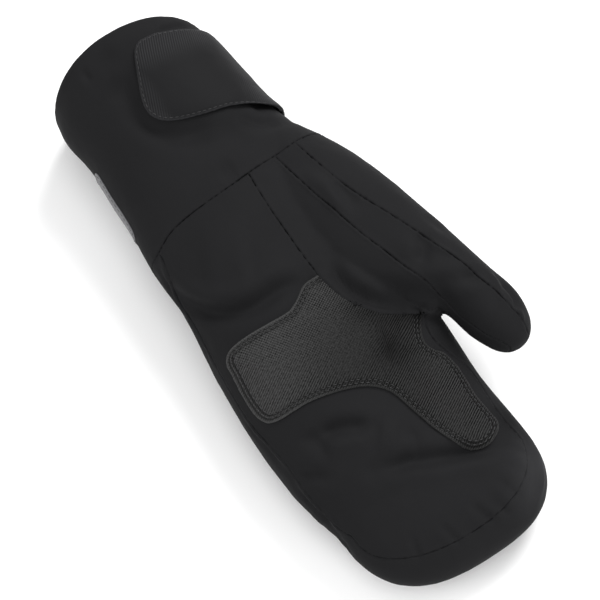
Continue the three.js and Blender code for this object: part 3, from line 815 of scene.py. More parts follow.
def seam_edges(bm):
    return [e for e in bm.edges if len({f.material_index for f in e.link_faces}) > 1]


def tree_of(points):
    tree = KDTree(len(points))
    for i, point in enumerate(points):
        tree.insert(point, i)
    tree.balance()
    return tree


def distances(tree, points):
    return np.array([tree.find(p)[2] for p in points])


def along_edges(edges, parts=4):
    """Points spread along edges."""
    return [
        edge.verts[0].co.lerp(edge.verts[1].co, k / parts) for edge in edges for k in range(parts + 1)
    ]


def ripple(points, size, more):
    """Soft random bumps of about one size, from -1 to 1. "more" is added to the seed."""
    seed = bpy.context.scene.overglove_sizes.seed + more
    shift = Vector((seed * 3.1, seed * 7.7, seed * 1.3))
    return np.array([noise.noise(Vector(p) / size + shift) for p in points])


def ripples(points, rows, base=0):
    return sum((height * ripple(points, size, more) for height, size, more in rows), base)


def finished(name, bm, material, node=None):
    """Turns a mesh in the hand's millimetres into a piece of the glove, in the frame's metres."""
    place(bm, (coords(bm) + HAND_TO_FRAME) * MM)
    for face in bm.faces:
        face.smooth = True
        face.material_index = 0
    mesh = bpy.data.meshes.new(name)
    bm.to_mesh(mesh)
    bm.free()
    mesh.materials.append(material)
    piece = bpy.data.objects.new(name, mesh)
    bpy.context.scene.collection.objects.link(piece)
    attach(piece, BODY)
    if node:
        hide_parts(node)
    return piece


def cloth_area(bm):
    """The area of a cloth in square metres."""
    return sum(face.calc_area() for face in bm.faces) * MM * MM


def give_walls(piece, thickness, group=None):
    walls = piece.modifiers.new("cloth", "SOLIDIFY")
    walls.thickness = thickness
    walls.offset = -1
    walls.use_even_offset = False
    walls.use_rim = True
    if group is not None:
        walls.vertex_group = group
        walls.thickness_vertex_group = 0.5


def skin_tree():
    mesh = bpy.data.meshes[SKIN]
    return BVHTree.FromPolygons([v.co for v in mesh.vertices], [list(p.vertices) for p in mesh.polygons])


def piece_tree(piece):
    """A finished piece's outer surface, in the hand's millimetres."""
    verts = [Vector(np.array(v.co) / MM - HAND_TO_FRAME) for v in piece.data.vertices]
    return BVHTree.FromPolygons(verts, [list(p.vertices) for p in piece.data.polygons])


def draw_on_cloth(bm, flat):
    """Gives the cloth a UV map in metres, as it lies flat."""
    bm.verts.index_update()
    cut = bm.loops.layers.uv.new("cut")
    for face in bm.faces:
        for loop in face.loops:
            loop[cut].uv = flat[loop.vert.index] * MM


def drop(tree, points, ways, reach=20):
    """Where points meet a surface, sought inwards against their outward ways."""
    found = []
    for point, way in zip(points, ways):
        way = Vector(way).normalized()
        hit = tree.ray_cast(Vector(point) + way * reach, -way, 3 * reach)[0]
        found.append(point if hit is None else hit)
    return np.array(found)


def cloth_name(node):
    return node.replace("_panel", "") + "_cloth"


# ---- Materials ---------------------------------------------------------------------------------


def add_node(tree, kind, settings=None, **inputs):
    """Adds a node with its settings. An input is a value, or another node's output."""
    node = tree.nodes.new(kind)
    for name, value in (settings or {}).items():
        setattr(node, name, value)
    for name, value in inputs.items():
        socket = node.inputs[int(name[1:])] if name[1:].isdigit() else node.inputs[name.replace("_", " ")]
        if isinstance(value, bpy.types.NodeSocket):
            tree.links.new(value, socket)
        else:
            socket.default_value = value
    return node


def marks(apart):
    """The scale of a noise whose marks are so many millimetres apart."""
    return 1 / (apart * MM)


def bands(apart):
    """The scale of a wave whose bands are so many millimetres apart."""
    return 2 * math.pi / (20 * apart * MM)


def new_material(name):
    material = bpy.data.materials.new(name)
    material.use_nodes = True
    material.node_tree.nodes.clear()
    return material, material.node_tree


def shade(colour, factor):
    return [c * factor for c in colour[:3]] + [1.0]


def shell_cloth_material():
    """Waterproof laminate: a film backing a tight plain weave of matt polyester."""
    # To the eye it is a dull charcoal without a bright spot, clouded where it has been handled, softly
    # creased, and grained by its threads. They lie 0.2 mm apart, too fine to show, and are drawn 0.67.
    colour = bpy.context.scene.overglove_colours.shell
    material, tree = new_material("laminated_polyester_weave")
    at = add_node(tree, "ShaderNodeTexCoord").outputs["Object"]
    cloud = add_node(tree, "ShaderNodeTexNoise", Vector=at, Scale=marks(36), Detail=3.0)
    mottle = add_node(
        tree, "ShaderNodeMix", {"data_type": "RGBA"}, Factor=cloud.outputs["Fac"],
        _6=shade(colour, 0.86), _7=shade(colour, 1.16),
    )
    # the tone attribute scales the colour with painted light and shade
    tone = add_node(tree, "ShaderNodeAttribute", {"attribute_name": "tone"})
    face = add_node(
        tree, "ShaderNodeVectorMath", {"operation": "SCALE"},
        Vector=mottle.outputs[2], Scale=tone.outputs["Fac"],
    )
    threads = add_node(tree, "ShaderNodeTexNoise", Vector=at, Scale=marks(0.67), Detail=2.0)
    soft = add_node(tree, "ShaderNodeTexNoise", Vector=at, Scale=marks(4.2), Detail=2.0)
    grain = add_node(tree, "ShaderNodeBump", Strength=0.25, Distance=0.0002, Height=threads.outputs["Fac"])
    bump = add_node(
        tree, "ShaderNodeBump", Strength=0.2, Distance=0.0004, Height=soft.outputs["Fac"],
        Normal=grain.outputs["Normal"],
    )
    rough = add_node(tree, "ShaderNodeMapRange", Value=cloud.outputs["Fac"], To_Min=0.62, To_Max=0.74)
    shader = add_node(
        tree, "ShaderNodeBsdfPrincipled", Base_Color=face.outputs[0], Roughness=rough.outputs[0],
        Specular_IOR_Level=0.028, Normal=bump.outputs["Normal"], Sheen_Weight=0.003, Sheen_Roughness=0.4,
    )
    add_node(tree, "ShaderNodeOutputMaterial", Surface=shader.outputs["BSDF"])
    return material


def patch_cloth_material():
    """Grip cloth: rubber-coated threads, 1.2 mm wide, woven in ribs that run on the bias."""
    # To the eye it is paler than the shell, in fine light and dark ribs with knots in their threads. The
    # ribs are stronger in some places than others, and hardly show where the palm has rubbed them.
    colour = bpy.context.scene.overglove_colours.patch
    material, tree = new_material("ribbed_grip_weave")
    at = add_node(tree, "ShaderNodeUVMap", {"uv_map": "cut"}).outputs["UV"]
    uneven = add_node(tree, "ShaderNodeTexNoise", Vector=at, Scale=marks(11), Detail=2.0)
    strength = add_node(
        tree, "ShaderNodeMapRange", Value=uneven.outputs["Fac"],
        From_Min=0.3, From_Max=0.7, To_Min=0.6, To_Max=1.4,
    )
    ribs = []
    for turn, amount in ((GRIP_TURN, "ribs"), (GRIP_TURN + GRIP_CROSS_TURN, "cross_ribs")):
        turned = add_node(tree, "ShaderNodeMapping", Vector=at, Rotation=(0, 0, math.radians(-turn)))
        wave = add_node(
            tree, "ShaderNodeTexWave", {"wave_profile": "SIN", "bands_direction": "Y"},
            Vector=turned.outputs[0], Scale=bands(GRIP_PITCH), Distortion=1.0, Detail=1.0,
            Detail_Scale=0.6,
        )
        share = add_node(tree, "ShaderNodeAttribute", {"attribute_name": amount})
        swing = add_node(
            tree, "ShaderNodeMath", {"operation": "SUBTRACT"}, _0=wave.outputs["Fac"], _1=0.5
        )
        here = add_node(
            tree, "ShaderNodeMath", {"operation": "MULTIPLY"},
            _0=share.outputs["Fac"], _1=strength.outputs[0],
        )
        ribs.append(add_node(
            tree, "ShaderNodeMath", {"operation": "MULTIPLY"}, _0=swing.outputs[0], _1=here.outputs[0]
        ))
    both = add_node(
        tree, "ShaderNodeMath", {"operation": "ADD"}, _0=ribs[0].outputs[0], _1=ribs[1].outputs[0]
    )
    slub = add_node(tree, "ShaderNodeTexNoise", Vector=at, Scale=marks(1.2), Detail=1.0)
    knots = add_node(
        tree, "ShaderNodeMapRange", Value=slub.outputs["Fac"],
        From_Min=0.3, From_Max=0.7, To_Min=0.7, To_Max=1.3,
    )
    weave = add_node(
        tree, "ShaderNodeMath", {"operation": "MULTIPLY_ADD"}, _0=both.outputs[0], _1=2.0, _2=knots.outputs[0]
    )
    sewn = weave
    for amount, paleness in (("rim", 1.5), ("rows", 0.28)):
        share = add_node(tree, "ShaderNodeAttribute", {"attribute_name": amount})
        sewn = add_node(
            tree, "ShaderNodeMix", {"data_type": "FLOAT"},
            _0=share.outputs["Fac"], _2=sewn.outputs[0], _3=paleness,
        )
    # the tone attribute scales the colour: wear mixed with painted light and shade
    tone = add_node(tree, "ShaderNodeAttribute", {"attribute_name": "tone"})
    shaded = add_node(
        tree, "ShaderNodeMath", {"operation": "MULTIPLY"}, _0=sewn.outputs[0], _1=tone.outputs["Fac"]
    )
    face = add_node(
        tree, "ShaderNodeVectorMath", {"operation": "SCALE"}, Vector=colour[:3], Scale=shaded.outputs[0]
    )
    bump = add_node(tree, "ShaderNodeBump", Strength=0.6, Distance=0.0005, Height=weave.outputs[0])
    shader = add_node(
        tree, "ShaderNodeBsdfPrincipled", Base_Color=face.outputs[0], Roughness=0.7,
        Specular_IOR_Level=0.043, Normal=bump.outputs["Normal"], Sheen_Weight=0.0043, Sheen_Roughness=0.4,
    )
    add_node(tree, "ShaderNodeOutputMaterial", Surface=shader.outputs["BSDF"])
    return material


def strap_material():
    """Strap of nylon webbing coated with soft rubber, pressed into ribs at its ends."""
    # To the eye it is nearly black and smooth, with a soft light on it, pale lines on the ribs and a pale cut
    # edge. Down the cuff's side that faces the lamps the pale ribs are painted light. The rubber's grain of
    # 0.3 mm is too fine to show, and is drawn 1.1 mm apart.
    colour = bpy.context.scene.overglove_colours.strap
    material, tree = new_material("coated_ribbed_strap")
    at = add_node(tree, "ShaderNodeUVMap", {"uv_map": "cut"}).outputs["UV"]
    turned = add_node(tree, "ShaderNodeMapping", Vector=at, Rotation=(0, 0, math.radians(-65)))
    ribs = add_node(
        tree, "ShaderNodeTexWave", {"wave_profile": "SIN", "bands_direction": "Y"},
        Vector=turned.outputs[0], Scale=bands(1.2), Distortion=0.5,
    )
    fine = add_node(tree, "ShaderNodeTexNoise", Vector=at, Scale=marks(1.1), Detail=2.0)
    ribs_and_painted_light = add_node(tree, "ShaderNodeAttribute", {"attribute_name": "ribs_and_painted_light"})
    strength = add_node(
        tree, "ShaderNodeMath", {"operation": "MULTIPLY"}, _0=ribs.outputs["Fac"], _1=ribs_and_painted_light.outputs["Fac"]
    )
    rim = add_node(tree, "ShaderNodeAttribute", {"attribute_name": "rim"})
    tone = add_node(
        tree, "ShaderNodeMix", {"data_type": "RGBA"}, Factor=strength.outputs[0],
        _6=shade(colour, 0.92), _7=shade(colour, 2.2),
    )
    edged = add_node(
        tree, "ShaderNodeMix", {"data_type": "RGBA"}, Factor=rim.outputs["Fac"],
        _6=tone.outputs[2], _7=shade(colour, 2.2),
    )
    low = add_node(tree, "ShaderNodeBump", Strength=0.15, Distance=0.0002, Height=fine.outputs["Fac"])
    bump = add_node(
        tree, "ShaderNodeBump", Strength=0.5, Distance=0.0003, Height=strength.outputs[0],
        Normal=low.outputs["Normal"],
    )
    shader = add_node(
        tree, "ShaderNodeBsdfPrincipled", Base_Color=edged.outputs[2], Roughness=0.58,
        Specular_IOR_Level=0.036, Normal=bump.outputs["Normal"],
    )
    add_node(tree, "ShaderNodeOutputMaterial", Surface=shader.outputs["BSDF"])
    return material


def reflective_material():
    """Reflective film: glass beads bonded under a grey resin face."""
    # To the eye it is an even satin grey, faintly speckled. The beads are 0.05 mm wide, too fine to show,
    # and are drawn 0.62 mm apart.
    colour = bpy.context.scene.overglove_colours.reflective
    material, tree = new_material("glass_bead_reflective_film")
    at = add_node(tree, "ShaderNodeTexCoord").outputs["Object"]
    beads = add_node(tree, "ShaderNodeTexVoronoi", Vector=at, Scale=marks(0.62))
    tone = add_node(
        tree, "ShaderNodeMix", {"data_type": "RGBA"}, Factor=beads.outputs["Distance"],
        _6=shade(colour, 1.1), _7=shade(colour, 0.8),
    )
    bump = add_node(tree, "ShaderNodeBump", Strength=0.2, Distance=0.0001, Height=beads.outputs["Distance"])
    shader = add_node(
        tree, "ShaderNodeBsdfPrincipled", Base_Color=tone.outputs[2], Roughness=0.5,
        Specular_IOR_Level=0.2, Normal=bump.outputs["Normal"],
    )
    add_node(tree, "ShaderNodeOutputMaterial", Surface=shader.outputs["BSDF"])
    return material


def thread_material():
    """Spun polyester sewing thread, twisted from three strands."""
    # To the eye each stitch is a dull dark grain, lighter and darker with its twist of 0.4 mm.
    colour = bpy.context.scene.overglove_colours.thread
    material, tree = new_material("polyester_sewing_thread")
    at = add_node(tree, "ShaderNodeTexCoord").outputs["Object"]
    twist = add_node(tree, "ShaderNodeTexNoise", Vector=at, Scale=marks(0.4))
    tone = add_node(
        tree, "ShaderNodeMix", {"data_type": "RGBA"}, Factor=twist.outputs["Fac"],
        _6=shade(colour, 0.7), _7=shade(colour, 1.3),
    )
    shader = add_node(tree, "ShaderNodeBsdfPrincipled", Base_Color=tone.outputs[2], Roughness=0.6)
    add_node(tree, "ShaderNodeOutputMaterial", Surface=shader.outputs["BSDF"])
    return material


# ---- The glove's pieces ------------------------------------------------------------------------


def hand_form(grain):
    """The hand and thumb as one closed skin, grown together at the thumb's root."""
    start, end = MITTEN_FORM["start"], MITTEN["y"][-1]

    def mitten(at, angle):
        straight = MITTEN_FORM["straight"]
        tip = np.clip((at - straight) / (1 - straight), 0, 1)
        over_tip = end + TIP_LENGTH * np.sin(tip * MITTEN_FORM["turn"])
        return mitten_surface(np.where(at < straight, start + (end - start) * at / straight, over_tip), angle)

    def thumb(at, angle):
        straight, share = THUMB_FORM["straight"], THUMB_FORM["tip"]
        tip = np.clip((at - straight) / share, 0, 1)
        over_tip = straight + share * np.sin(tip * THUMB_FORM["turn"])
        return thumb_surface(np.where(at < straight, at, over_tip), angle)

    bm, thumb_bm = tube(mitten, MITTEN_FORM["faces"]), tube(thumb, THUMB_FORM["faces"])
    spare = bpy.data.meshes.new("thumb")
    thumb_bm.to_mesh(spare)
    thumb_bm.free()
    bm.from_mesh(spare)
    bpy.data.meshes.remove(spare)
    return fused(bm, grain)


def past_thumb_seam(points):
    """How far a point is past the seam between thumb and palm, towards the palm."""
    seam = curve_points(THUMB_SEAMS, "y", "palm", 80, CROTCH_Y, 90)
    side = np.sign(points[:, 0] - smooth_at(THUMB_SEAMS, "y", "palm", points[:, 1]))
    return side * distance_to(seam, points)


def crease_lift(points):
    """The thumb's root stands over its seam, and the cloth dives along the seam on both sides."""
    past, y = past_thumb_seam(points), points[:, 1]
    along = np.clip((y - 152) / 26, 0, 1) * np.clip((CROTCH_Y + 8 - y) / 12, 0, 1)
    return along * sum(lift * bell(past - at, reach) for lift, at, reach in CREASE)


def smooth_keeping_size(bm, times):
    """Smooths the skin. Each pass is followed by one that pushes out what it shrank."""
    for _ in range(times):
        for factor in (0.5, -0.52):
            smooth_evenly(bm, factor)


def draw_back_web(points):
    """Draws the web between thumb and hand back, so that the two part at a narrow corner."""
    across, ahead = points[:, 0] - WEB["x"], points[:, 1] - WEB["y"]
    reach = np.where(ahead > 0, WEB["ahead"], WEB["behind"])
    points[:, 1] -= WEB["back"] * np.exp(-((across / WEB["across"]) ** 2) - (ahead / reach) ** 2)


def shape_shell(bm):
    """Smooths the skin, presses its folds in and gives it the soft unevenness of cloth."""
    smooth_keeping_size(bm, 8)
    points = coords(bm)
    draw_back_web(points)
    place(bm, points)
    points, ways = coords(bm), normals(bm)
    palm_side = np.clip(ways[:, 2] * 1.6, 0, 1)
    points[:, 2] += crease_lift(points) * palm_side
    points -= ways * fold_depth(points, ways)[:, None]
    clear_of_floor = np.clip((points[:, 2] - 2) / 12, 0, 1)
    points += ways * (ripples(points, CLOTH_WAVES) * clear_of_floor)[:, None]
    points[:, 2] = np.maximum(points[:, 2], 0)
    place(bm, points)


def refine_near(bm, tree, reach):
    near = {v for v in bm.verts if tree.find(v.co)[2] < reach}
    edges = [e for e in bm.edges if e.verts[0] in near and e.verts[1] in near]
    bmesh.ops.subdivide_edges(bm, edges=edges, cuts=1, use_grid_fill=True)


def turn_in_seams(bm):
    """Turns the cloth in along its seams, with small puckers beside them, and rounds the mouth's hem."""
    sizes = bpy.context.scene.overglove_sizes
    depth, width = sizes.seam_depth / MM, sizes.seam_width / MM
    points, ways = coords(bm), normals(bm)
    gap = distances(tree_of(along_edges(seam_edges(bm))), points)
    uneven = np.clip(ripples(points, SEAM_WAVES, SEAM_EVEN), 0.12, 1.3)
    # shallower at the little finger's side of the wrist, over the fingers and at the crotch
    uneven *= 1 - 0.6 * soft_step(points[:, 0], 32, 44) * soft_step(points[:, 1], 112, 124)
    uneven *= 1 - 0.4 * soft_step(points[:, 1], 225, 250)
    from_crotch = gap_to(points, CROTCH) / CROTCH_REACH
    uneven *= np.clip(from_crotch, 0.35, 1)
    groove = depth * uneven * np.clip(1 - gap / width, 0, 1) ** SEAM_FALL
    lip = SEAM_LIP["height"] * bell(gap - SEAM_LIP["at"] * width, width)
    gutter = SEAM_GUTTER["depth"] * bell(gap, SEAM_GUTTER["reach"])
    pucker = SEAM_PUCKER["height"] * bell(gap, SEAM_PUCKER["reach"]) * ripple(points, SEAM_PUCKER["size"], 2)
    inward = groove - lip + gutter + pucker * np.clip(from_crotch, 0, 1)
    rim = [e for e in bm.edges if e.is_boundary]
    from_mouth = distances(tree_of(along_edges(rim)), points)
    inward += HEM_ROLL["depth"] * np.clip(1 - from_mouth / HEM_ROLL["reach"], 0, 1) ** 2
    points -= ways * inward[:, None]
    points[:, 2] = np.maximum(points[:, 2], 0)
    place(bm, points)
    return from_mouth


def shell_painted_light(points):
    """The shell's painted light and shade, as how pale its cloth is: 1 is its own colour."""
    tone = np.ones(len(points))
    for middle, reach, change in PAINTED_LIGHT_ON_SHELL:
        tone += change * bell(gap_to(points, middle), reach)
    return tone


def lift_over_patch(bm):
    """Raises the edge of the thumb's panel where the patch goes under it."""
    sizes = bpy.context.scene.overglove_sizes
    points, ways = coords(bm), normals(bm)
    gap = distance_to(curve_points(THUMB_SEAMS, "y", "palm", 168, CROTCH_Y - 4, 40), points)
    fading = np.clip((points[:, 1] - 163) / 6, 0, 1) * np.clip((points[:, 2] - 40) / 4, 0, 1)
    fill = sizes.seam_depth / MM * np.clip(1 - gap / (sizes.seam_width / MM), 0, 1) ** SEAM_FALL
    lift = fill + (0.5 + 0.8 * rounded(gap, 1.2)) * bell(gap, 4)
    place(bm, points + ways * (lift * fading)[:, None])


def add_stitches(bm, points, ways, length, thickness):
    """A stitch at each point, lying along the line between its neighbours."""
    last = len(points) - 1
    for i, (point, way) in enumerate(zip(points, ways)):
        ahead = Vector(points[min(i + 1, last)] - points[max(i - 1, 0)]).normalized()
        side = ahead.cross(Vector(way)).normalized()
        turn = Matrix((side, ahead, side.cross(ahead))).transposed().to_4x4()
        size = Matrix.Diagonal((thickness / 2, length / 2, thickness / 2, 1))
        bmesh.ops.create_uvsphere(
            bm, u_segments=6, v_segments=5, radius=1,
            matrix=Matrix.Translation(point) @ turn @ size @ Matrix.Rotation(math.pi / 2, 4, "X"),
        )


def beside(line, distance):
    """A plan line moved to its left by a distance, without loops."""
    ahead = np.gradient(line, axis=0)
    ahead /= np.linalg.norm(ahead, axis=1, keepdims=True)
    moved = line + distance * np.stack([-ahead[:, 1], ahead[:, 0]], axis=1)
    return moved[distance_to(line, moved) > abs(distance) * 0.93]


def sew(name, piece, lines, thread, sink=0.0, up=(0.0, 0.0, 1.0)):
    """Rows of stitches on a piece. The lines are in plan, or in Y and Z where "up" is +X."""
    sizes = bpy.context.scene.overglove_sizes
    pitch = sizes.stitch_pitch / MM
    bm = bmesh.new()
    tree = piece_tree(piece)
    for line in lines:
        at = np.insert(evenly(line, pitch), int(np.argmax(up)), OVER_PALM, axis=1)
        ways = np.tile(up, (len(at), 1))
        at = drop(tree, at, ways, OVER_PALM) + sink * ways
        add_stitches(bm, at, ways, pitch * STITCH_SHARE, thread * sizes.thread / MM)
    cloth = bpy.data.materials.get("polyester_sewing_thread") or thread_material()
    return finished(name, bm, cloth)


class OVERGLOVE_OT_shell(bpy.types.Operator):
    """Sew the shell: cuff, palm, thumb and back panels"""

    bl_idname = "overglove.shell"
    bl_label = "Shell"

    def execute(self, context):
        sizes = context.scene.overglove_sizes
        bm = hand_form(sizes.grid / MM)
        shape_shell(bm)
        bm.to_mesh(bpy.data.meshes.new(SKIN))
        trim(bm, mouth_field)
        loose = list(SHELL).index("back_panel")
        for face in bm.faces:
            face.material_index = loose
        fields = (
            cuff_field,
            panel_field(palm_outline(), PALM_SIDE_SEAM),
            panel_field(thumb_inner_outline(), THUMB_SIDE_SEAM),
            panel_field(thumb_middle_outline(), THUMB_SIDE_SEAM),
            thumb_back_field,
        )
        for label, field in enumerate(fields):
            mark(bm, field, label, loose)
        absorb_islands(bm)
        for reach in SEAM_FINE:
            refine_near(bm, tree_of(along_edges(seam_edges(bm))), reach)
        from_mouth = turn_in_seams(bm)
        # the tone layer holds the shell's painted light and shade
        set_layer(bm, "tone", shell_painted_light(coords(bm)))
        set_layer(bm, "hem", np.clip((sizes.hem_width / MM - from_mouth) / HEM_FADE, 0, 1))
        cloth = shell_cloth_material()
        for label, node in enumerate(SHELL):
            panel = bm.copy()
            others = [f for f in panel.faces if f.material_index != label]
            bmesh.ops.delete(panel, geom=others, context="FACES")
            if node == "thumb_inner_panel":
                lift_over_patch(panel)
            area = cloth_area(panel)
            piece = finished(cloth_name(node), panel, cloth, node)
            if node == "cuff":
                group = piece.vertex_groups.new(name="hem")
                for i, share in enumerate(piece.data.attributes["hem"].data):
                    group.add([i], share.value, "REPLACE")
                give_walls(piece, 2 * sizes.shell_cloth, "hem")
            else:
                give_walls(piece, sizes.shell_cloth)
            piece.data.attributes.remove(piece.data.attributes["hem"])
        bm.free()
        return {"FINISHED"}


def set_float(piece, name, values):
    attribute = piece.data.attributes.new(name, "FLOAT", "POINT")
    attribute.data.foreach_set("value", np.asarray(values, np.float32))


def grid_in(bm, low, high, step):
    """A flat grid over a box in plan."""
    across, along = (int(math.ceil((b - a) / step)) for a, b in zip(low, high))
    bmesh.ops.create_grid(bm, x_segments=across, y_segments=along, size=1)
    at = coords(bm)
    at[:, :2] = low + (at[:, :2] + 1) / 2 * (high - low)
    place(bm, at)


def grip_light_and_wear(plan):
    """How pale the grip cloth is, with wear and painted light and shade in it, and how much its ribs and its
    cross ribs show.
    """
    across, up = plan @ GRIP_ACROSS, plan @ GRIP_UP
    fork, corner, rubbed = (bell(gap_to(plan, at), reach) for at, reach in (THUMB_FORK, PALE_CORNER, RUBBED))
    under = bell(past_thumb_seam(plan), 9) * soft_step(plan[:, 1], 178, 198)
    heel, finger = soft_step(across, 122, 72), soft_step(across, 150, 164)
    # paler towards the heel and darker in the thumb's fork, part wear and part painted light and shade; the
    # band under the thumb's root is painted shadow
    tone = 0.76 + 0.74 * heel + 0.12 * finger + 0.22 * corner - 0.36 * fork - 0.32 * under
    ribs = (0.4 + 0.34 * soft_step(across, 80, 118)) * (1 - 0.8 * rubbed)
    cross = 0.36 * soft_step(up, -174, -160) * soft_step(across, 140, 118) * (1 - 0.8 * rubbed)
    return tone, ribs - 0.3 * cross, cross


class OVERGLOVE_OT_patch(bpy.types.Operator):
    """Lay the palm patch on the palm, with its edge turned under"""

    bl_idname = "overglove.patch"
    bl_label = "Palm patch"

    def execute(self, context):
        sizes = context.scene.overglove_sizes
        free = through(PATCH_FREE, 1.2)
        whole = np.concatenate([free, PATCH_UNDER_THUMB])
        bm = bmesh.new()
        grid_in(bm, whole.min(axis=0) - 2, whole.max(axis=0) + 2, PATCH_GRID)
        trim(bm, lambda points: np.minimum(depth_inside(whole, points), past_thumb_seam(points) - 0.3))
        flat = coords(bm)
        flat_area = cloth_area(bm)
        draw_on_cloth(bm, flat[:, :2])
        edge = distance_to(free, flat)
        upwards = np.tile((0.0, 0.0, 1.0), (len(flat), 1))
        place(bm, drop(skin_tree(), flat + (0, 0, OVER_PALM), upwards, 40))
        for _ in range(3):
            bmesh.ops.smooth_vert(bm, verts=bm.verts, factor=0.5, use_axis_z=True)
        laid, ways = coords(bm), normals(bm)
        ways[ways[:, 2] < 0] *= -1
        height = PATCH_HEIGHT + PATCH_EDGE["height"] * rounded(edge, PATCH_EDGE["radius"])
        rows = sum(bell(edge - row, PATCH_ROW["reach"]) for row in PATCH_ROWS)
        height -= PATCH_ROW["depth"] * rows
        height += PATCH_RIDGE["height"] * bell(edge - sum(PATCH_ROWS) / 2, PATCH_RIDGE["reach"])
        rippled = PATCH_RIPPLE["height"] * ripple(laid, PATCH_RIPPLE["size"], 5)
        height += rippled * bell(edge, PATCH_RIPPLE["reach"])
        height -= PATCH_TUCK["depth"] * np.clip(1 - past_thumb_seam(flat) / PATCH_TUCK["reach"], 0, 1)
        place(bm, laid + ways * height[:, None])
        piece = finished("palm_patch_cloth", bm, patch_cloth_material(), "palm_patch")
        set_float(piece, "rim", bell(edge, 1.0))
        set_float(piece, "rows", np.clip(rows, 0, 1))
        # tone: wear mixed with painted light and shade
        for name, values in zip(("tone", "ribs", "cross_ribs"), grip_light_and_wear(flat[:, :2])):
            set_float(piece, name, values)
        give_walls(piece, sizes.patch_cloth)
        lines = [beside(evenly(free, 1.0), row)[4:-4] for row in PATCH_ROWS]
        stitches = sew("palm_patch_stitches", piece, lines, 1.0, sink=0.1)
        return {"FINISHED"}


def strap_outline():
    end = through(STRAP_END, 1.2)
    upper = curve_points(STRAP_EDGES, "x", "upper", -80, -2, 50)
    lower = curve_points(STRAP_EDGES, "x", "lower", -2, -80, 50)
    return np.concatenate([upper[:-1], end, lower[1:]])


def strap_on_form(outline):
    """The strap's cloth, cut out of a grid that follows the mitten's form."""
    bm = bmesh.new()
    size = STRAP_GRID
    bmesh.ops.create_grid(bm, x_segments=size["faces"][0], y_segments=size["faces"][1], size=1)
    at = (coords(bm) + 1) / 2
    turns = np.radians(size["turn"] + at[:, 0] * size["round"])
    place(bm, mitten_surface(size["y"] + at[:, 1] * size["long"], turns))
    trim(bm, lambda points: np.minimum(depth_inside(outline, points), points[:, 2] - STRAP_FOOT))
    slope = sloping(coords(bm))
    face_out(bm, np.stack([np.cos(slope), 0 * slope, np.sin(slope)], axis=1))
    return bm


def strap_flat(points, slope):
    """Places on the strap as it lies flat: how far round the cuff, and along it."""
    size = STRAP_GRID
    turns = np.radians(np.linspace(size["turn"], size["turn"] + size["round"], 200))
    ring = mitten_surface(np.full(len(turns), size["ring"]), turns)
    run = np.concatenate([[0], np.cumsum(np.linalg.norm(np.diff(ring, axis=0), axis=1))])
    ring_slope = np.arctan2(ring[:, 2] - smooth_at(MITTEN, "y", "mid", size["ring"]), ring[:, 0])
    full = 2 * math.pi
    wrapped = ring[0, 0] - np.interp(slope % full, ring_slope % full, run)
    return np.stack([wrapped, points[:, 1]], axis=1)


class OVERGLOVE_OT_strap(bpy.types.Operator):
    """Lay the wrist strap round the thumb's side of the cuff"""

    bl_idname = "overglove.strap"
    bl_label = "Wrist strap"

    def execute(self, context):
        sizes = context.scene.overglove_sizes
        outline = strap_outline()
        bm = strap_on_form(outline)
        points, ways = coords(bm), normals(bm)
        slope = sloping(points)
        draw_on_cloth(bm, strap_flat(points, slope))
        edge = distance_to(outline[1:-1], points)
        bow = np.exp(
            -(((np.degrees(slope) - STRAP_BOW["angle"]) / STRAP_BOW["reach"]) ** 2)
            - ((points[:, 1] - STRAP_BOW["y"]) / STRAP_BOW["fade"]) ** 2
        )
        laid = drop(skin_tree(), points, ways)
        gap = np.maximum(np.einsum("ij,ij->i", laid - points, ways), -STRAP_SUNK)
        lip = STRAP_EDGE["height"]
        height = gap + LAID_OFF + sizes.strap_cloth / MM - lip + lip * rounded(edge, STRAP_EDGE["radius"])
        height += sizes.strap_lift / MM * bow
        height -= STRAP_ROW["depth"] * bell(edge - STRAP_ROW["at"], STRAP_ROW["reach"])
        place(bm, points + ways * height[:, None])
        for _ in range(2):
            smooth_evenly(bm, 0.3)
        piece = finished("wrist_strap_cloth", bm, strap_material(), "wrist_strap")
        set_float(piece, "rim", bell(edge, 0.7))
        # where the ribs show: at the tab's top and its end, and down the cuff's side (X below -32), where the
        # paler ribs are also painted light on the side towards the lamps
        x, y = points[:, 0], points[:, 1]
        tab = np.maximum(soft_step(y, 34, 20) * soft_step(x, -44, -30), 0.7 * soft_step(x, 2, 9))
        set_float(piece, "ribs_and_painted_light", np.maximum(tab, 0.6 * soft_step(x, -32, -42)))
        give_walls(piece, sizes.strap_cloth)
        line = beside(evenly(outline[outline[:, 0] > STRAP_SEWN_TO], 1.0), -STRAP_ROW["at"])
        stitches = sew("wrist_strap_stitches", piece, [line], 0.7)
        return {"FINISHED"}


def reflective_outline():
    """The reflective panel's edge in Y and Z, with round corners."""
    size = REFLECTIVE
    corners = np.array([
        (size["from"], size["bottom"]), (size["to"], size["bottom"]),
        (size["to"], size["top_at_wrist"]), (size["from"], size["top_at_mouth"]),
    ], float)
    line = []
    for k, corner in enumerate(corners):
        ends = (corners[(k + side) % 4] - corner for side in (-1, 1))
        start, end = (corner + size["corner"] * way / np.linalg.norm(way) for way in ends)
        for t in np.linspace(0, 1, 8):
            line.append((1 - t) ** 2 * start + 2 * t * (1 - t) * corner + t**2 * end)
    return np.array(line)


